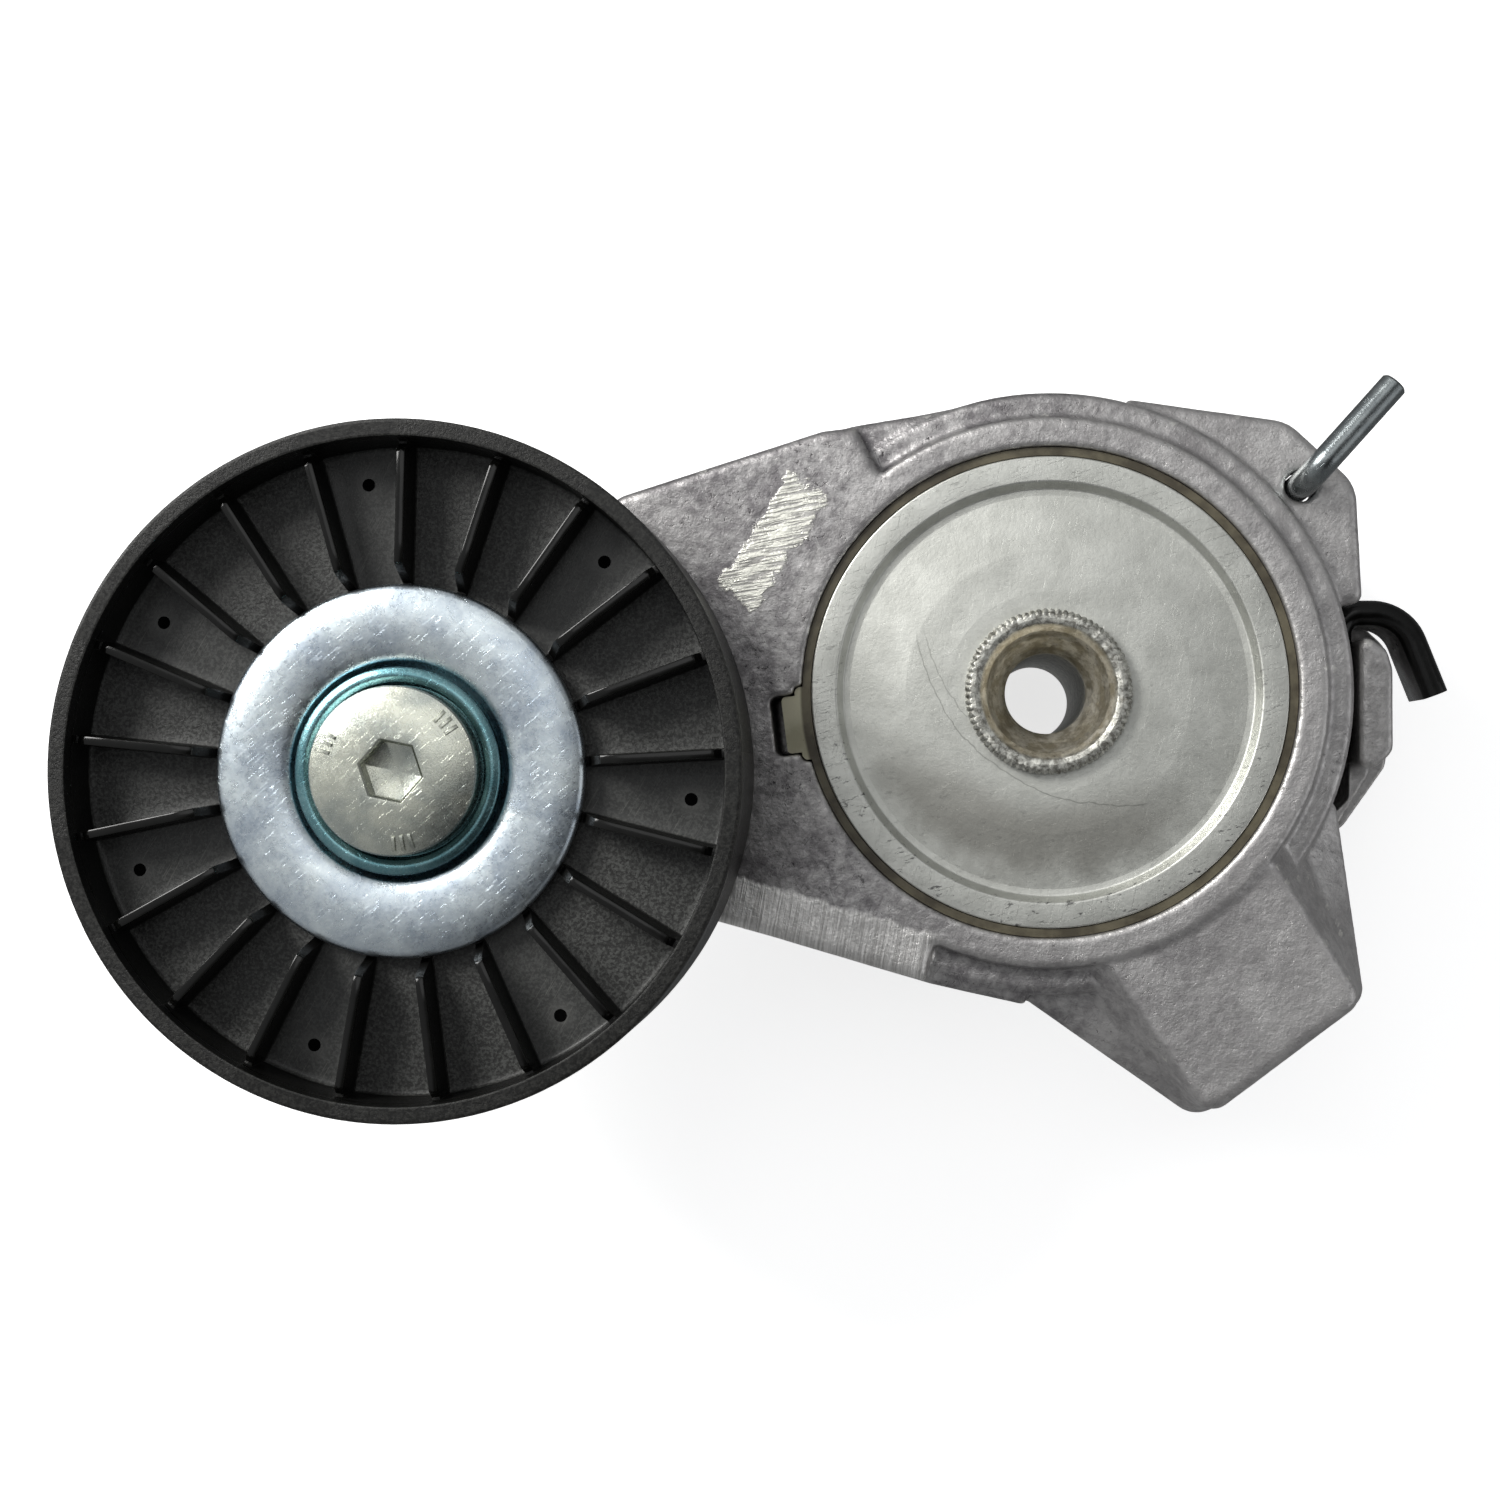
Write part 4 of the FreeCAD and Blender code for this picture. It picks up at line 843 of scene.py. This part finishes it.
def head_marks():
    """Three groups of plain raised bars near the edge of the bolt's head."""
    half, thin = MARK_LENGTH / 2, MARK_WIDTH / 2
    corners = [(-half, -thin), (half, -thin), (half, thin), (-half, thin)]
    vertices, faces = [], []
    for group in MARK_GROUPS:
        for step in (-MARK_STEP, 0, MARK_STEP):
            angle = math.radians(group + step)
            middle = Vector(polar(MARK_RING, group + step, PULLEY_AXIS))
            outward = Vector((math.cos(angle), math.sin(angle)))
            side = Vector((-outward.y, outward.x))
            base = len(vertices)
            for lift, shrink in ((-0.4, 1.0), (0.26, 1.0), (0.34, 0.75)):
                for u, v in corners:
                    spot = middle + (outward * u + side * v) * shrink
                    level = head_level(MARK_RING + u * shrink)
                    vertices.append((spot.x, spot.y, level + lift))
            for level in range(2):
                for k in range(4):
                    a, b = base + level * 4 + k, base + level * 4 + (k + 1) % 4
                    faces.append((a, b, b + 4, a + 4))
            faces.append(tuple(base + k for k in (3, 2, 1, 0)))
            faces.append(tuple(base + 8 + k for k in range(4)))
    return mesh_object("bolt_head_marks", vertices, faces)


marks = head_marks()
marks.data.materials.append(bolt_zinc)
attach(marks, "arm_assembly")


# ---- disc, staked tube and friction ring ---------------------------------------------

dish = DISC_HIGH - DISH_DROP
disc = lathe("cover_disc_plate", [
    (TUBE_NECK_R, DISC_LOW, 0), (DISC_R, DISC_LOW, 0.2), (DISC_R, DISC_HIGH, 0.25),
    (BAND_R + 0.1, DISC_HIGH, 0.4), (DISH_R, dish - 0.5, 0.4), (DISH_R - 0.9, dish - 0.55, 0.6),
    (19.0, dish + 0.2, 6.0), (13.5, dish + 0.45, 2.0), (TUBE_NECK_R, dish + 0.45, 0)],
    PIVOT, 360)
dress(disc, disc_zinc(), "base", "zinc_disc", "cover_disc")


def knurl(radius, height, angle):
    """Presses fine teeth into the collar's outside and leaves its top uneven."""
    if height > DISC_HIGH - 1.0 and radius > TUBE_R - 0.2:
        tooth = abs((angle * COLLAR_TEETH / TAU) % 1 - 0.5) * 2
        radius -= TOOTH_DEPTH * max(0.0, tooth - 0.35)
    if height > DISC_HIGH and radius > COLLAR_MOUTH - 0.3:
        place = Vector((math.cos(angle), math.sin(angle), 0)) * radius
        height += COLLAR_RISE * noise.noise(place / 1.6) - 0.06
        radius += COLLAR_SPREAD * noise.noise(place / 1.3 + Vector((5, 5, 5)))
    return radius, height


tube = lathe("pivot_tube_staked", [
    (BORE_R, 0, 0.2), (TUBE_R, 0, 0.4), (TUBE_R, DISC_LOW, 0), (TUBE_NECK_R, DISC_LOW, 0),
    (TUBE_NECK_R, DISC_HIGH - 0.75, 0), (COLLAR_R, DISC_HIGH - 0.75, 0.1),
    (COLLAR_R, TUBE_TOP - 0.7, 0.25), (10.5, TUBE_TOP - 0.15, 0.4), (9.8, TUBE_TOP - 0.1, 0.3),
    (COLLAR_MOUTH + 0.2, TUBE_TOP - 0.25, 0.5),
    (COLLAR_MOUTH - 0.7, TUBE_TOP - 1.8, 1.2), (7.5, 47.4, 2.0), (6.3, CONE_FOOT + 1.0, 1.5),
    (BORE_R, CONE_FOOT - 1.0, 1.5)], PIVOT, COLLAR_TEETH * 8, 0.0, knurl)
dress(tube, staked_steel(COLLAR_MOUTH), "base", "passivated_steel", "pivot_tube")


# ---- castings ------------------------------------------------------------------------

arm = casting("arm_casting", "arm", 0.36, 4, 0.03)
dress(arm, cast_metal("arm_aluminium", tone(124, 121, 123), tone(194, 192, 191), 1.0, True),
      "arm_assembly", "cast_arm", "arm")
base = casting("base_casting", "base_housing", 0.4, 4, 0.03)
dress(base, cast_metal("base_aluminium", tone(122, 120, 120), tone(192, 190, 189), 31.0),
      "base", "cast_base", "base_housing")


# ---- spring and lock pin -------------------------------------------------------------

SPRING_LOW, SPRING_HIGH = levels("spiral_spring")
STRIP = 3.5
COIL_IN, COIL_OUT = 18.15, 37.5
COIL_TURNS = 3.4
LEAVES_AT = -45.0
HOOK_RUN = 41.5
HOOK_PATH = [(HOOK_RUN, 11.65, 3.0), (50.2, 11.65, 6.5), (54.7, 0.1, 0)]


def spring_path():
    """Centre line of the strip: coils, straight run, and the hook over the lug."""
    middle = (SPRING_LOW + SPRING_HIGH) / 2
    steps = int(COIL_TURNS * 90)
    path = []
    for i in range(steps):
        share = i / steps
        angle = LEAVES_AT - 360 * COIL_TURNS * (1 - share)
        path.append(Vector((*polar(COIL_IN + (COIL_OUT - COIL_IN) * share, angle), middle)))
    leave = polar(COIL_OUT, LEAVES_AT)
    corners = [(*leave, 0), (HOOK_RUN, leave[1] + HOOK_RUN - leave[0], 18.0), *HOOK_PATH]
    path += [Vector((p.x, p.y, middle)) for p in rounded(corners, False, 12)]
    return path


def rounded_box(width, height, radius):
    w, h = width / 2, height / 2
    return rounded([(-w, -h, radius), (w, -h, radius), (w, h, radius), (-w, h, radius)], True, 4)


UP = Vector((0, 0, 1))
spring = sweep("spring_strip", spring_path(),
               rounded_box(STRIP, SPRING_HIGH - SPRING_LOW, 1.55), UP, 0.12)
dress(spring, painted_spring(), "base", "black_spring", "spiral_spring")

PIN_R = 1.85
PIN_FOOT = Vector((*polar(44.7, 39.3), levels("lock_pin")[0]))
PIN_LEG_Z = 46.4
PIN_LEG_TURN = math.radians(48.3)
PIN_LEG = 17.3
along = Vector((math.cos(PIN_LEG_TURN), math.sin(PIN_LEG_TURN), 0))
elbow = Vector((PIN_FOOT.x, PIN_FOOT.y, PIN_LEG_Z))
pin_path = rounded([(*PIN_FOOT, 0), (*elbow, 4.2), (*(elbow + along * PIN_LEG), 0)], False, 16)
circle = [(PIN_R * math.cos(TAU * k / 40), PIN_R * math.sin(TAU * k / 40)) for k in range(40)]
pin = sweep("lock_pin_rod", pin_path, circle, along.cross(UP), 0.3)
dress(pin, plated("pin_zinc_bright", tone(158, 164, 164), tone(126, 132, 134), 0.22, 0.30, PIVOT,
                  0.5, 0.08),
      "pin", "pin_zinc", "lock_pin")


# ---- CAD nodes that keep their own shape ---------------------------------------------

bearing_steel = steel("bearing_steel_ground", tone(206, 207, 208), tone(150, 150, 152), 0.22,
                      PULLEY_AXIS)
KEPT = {
    "friction_ring": ring_nylon(),
    "pivot_bushing": polymer("bushing_polymer_dark", tone(66, 62, 54), tone(48, 45, 40), 0.5),
    "thrust_washer": polymer("washer_nylon_cream", tone(196, 188, 160), tone(170, 162, 134), 0.5),
    "bearing_seal_front": polymer("seal_rubber_front", tone(34, 34, 34), tone(22, 22, 22), 0.6),
    "bearing_seal_rear": polymer("seal_rubber_rear", tone(34, 34, 34), tone(22, 22, 22), 0.6),
    "bearing_cage": polymer("cage_nylon_brown", tone(120, 92, 58), tone(92, 70, 44), 0.5),
    "bearing_inner_ring": bearing_steel,
    "bearing_outer_ring": bearing_steel,
    "bearing_balls": steel("ball_steel_polished", tone(214, 214, 216), tone(180, 180, 184), 0.12,
                           PULLEY_AXIS),
    "rear_dust_shield": plated("rear_shield_zinc", tone(196, 206, 208), tone(160, 172, 178), 0.28,
                               0.42, PULLEY_AXIS, 1.0, 0.2),
    "locating_dowel": steel("dowel_steel_dark", tone(150, 150, 150), tone(108, 107, 106), 0.35,
                            (0.0, 29.0)),
}
for node, material in KEPT.items():
    NODES[node].data.materials.clear()
    NODES[node].data.materials.append(material)


# ---- floor, lights and camera --------------------------------------------------------

# The floor and the lamps are in metres, the eye in millimetres.
FLOOR_HALF = 30.0
FLOOR_GAP = 0.0004
BRIGHT_SIDE = (-0.55, 0.42, 0.72)
DARK_PATCH = (0.32, -0.36, 0.87)
LAMP_TARGET = (-0.02, 0.0, 0.05)
EYE = Vector((-18.43, -12.20, 388.0))
VIEW_RIGHT = Vector((0.9946, 0.0, -0.1034))
VIEW_UP = Vector((0.0014, 0.9999, 0.0131))
LENS, SENSOR = 60.0, 36.0
FRAME_SHIFT = 1 / 15            # of the frame's width


def area_light(name, place, target, size, watts, colour=(1, 1, 1)):
    data = bpy.data.lights.new(name, "AREA")
    data.shape = "DISK"
    data.size = size
    data.energy = watts
    data.color = colour
    lamp = bpy.data.objects.new(name, data)
    lamp.location = place
    lamp.rotation_euler = (Vector(place) - Vector(target)).to_track_quat("Z", "Y").to_euler()
    lamp.visible_camera = False
    bpy.context.scene.collection.objects.link(lamp)


def studio_air(towards, low, high, shade):
    """World light that grows from low to high towards one side, with a dark patch at shade."""
    world = bpy.data.worlds.new("studio_air")
    world.use_nodes = True
    nodes, links = world.node_tree.nodes, world.node_tree.links
    ray = nodes.new("ShaderNodeTexCoord")
    dot = nodes.new("ShaderNodeVectorMath")
    dot.operation = "DOT_PRODUCT"
    dot.inputs[1].default_value = Vector(towards).normalized()
    ramp = nodes.new("ShaderNodeMapRange")
    ramp.inputs["From Min"].default_value = 0.1
    ramp.inputs["To Min"].default_value = low
    ramp.inputs["To Max"].default_value = high
    links.new(ray.outputs["Generated"], dot.inputs[0])
    links.new(dot.outputs["Value"], ramp.inputs["Value"])
    away = nodes.new("ShaderNodeVectorMath")
    away.operation = "DOT_PRODUCT"
    away.inputs[1].default_value = Vector(shade).normalized()
    patch = nodes.new("ShaderNodeMapRange")
    patch.interpolation_type = "SMOOTHSTEP"
    patch.inputs["From Min"].default_value = 0.85
    patch.inputs["From Max"].default_value = 0.98
    patch.inputs["To Min"].default_value = 1.0
    patch.inputs["To Max"].default_value = 0.12
    links.new(ray.outputs["Generated"], away.inputs[0])
    links.new(away.outputs["Value"], patch.inputs["Value"])
    product = nodes.new("ShaderNodeMath")
    product.operation = "MULTIPLY"
    links.new(ramp.outputs["Result"], product.inputs[0])
    links.new(patch.outputs["Result"], product.inputs[1])
    links.new(product.outputs["Value"], nodes["Background"].inputs["Strength"])
    nodes["Background"].inputs["Color"].default_value = (0.97, 0.985, 1.0, 1.0)
    bpy.context.scene.world = world


def studio():
    """Pale floor just under the part, a soft key from the upper left and a weak fill."""
    mesh = bpy.data.meshes.new("studio_floor")
    half = FLOOR_HALF
    level = cad_box[0].z - FLOOR_GAP
    mesh.from_pydata([(-half, -half, level), (half, -half, level), (half, half, level),
                      (-half, half, level)], [], [(0, 1, 2, 3)])
    floor = bpy.data.objects.new("studio_floor", mesh)
    bpy.context.scene.collection.objects.link(floor)
    s = Shader("studio_floor_pale")
    paper = s.noise(60.0, 3.0)
    s.put(s.surface.inputs["Emission Color"], (1.0, 1.0, 1.0, 1.0))
    s.put(s.surface.inputs["Emission Strength"], 0.70)
    mesh.materials.append(s.set(colour=s.mix(paper, tone(228, 228, 228), tone(236, 236, 236)),
                                rough=0.9, specular=0.1))
    floor.visible_glossy = False
    studio_air(BRIGHT_SIDE, 0.20, 0.56, DARK_PATCH)
    area_light("key", (-0.48, 0.35, 0.52), LAMP_TARGET, 0.34, 5.2, (1.0, 0.99, 0.97))
    area_light("top", (-0.06, 0.20, 0.80), LAMP_TARGET, 0.40, 0.35)
    area_light("fill", (0.60, -0.10, 0.40), LAMP_TARGET, 0.6, 0.55, (0.97, 0.98, 1.0))


def photo_camera():
    """The photo's point of view, almost straight down from above the pivot."""
    data = bpy.data.cameras.new("photo_view")
    data.lens = LENS
    data.sensor_width = SENSOR
    data.shift_x = FRAME_SHIFT
    camera = bpy.data.objects.new("photo_view", data)
    back = VIEW_RIGHT.cross(VIEW_UP).normalized()
    up = back.cross(VIEW_RIGHT).normalized()
    turn = Matrix((VIEW_RIGHT.normalized(), up, back)).transposed().to_4x4()
    camera.matrix_world = Matrix.Translation(EYE * MM) @ turn
    bpy.context.scene.collection.objects.link(camera)
    bpy.context.scene.camera = camera


studio()
photo_camera()
bpy.context.scene.view_settings.view_transform = "Standard"
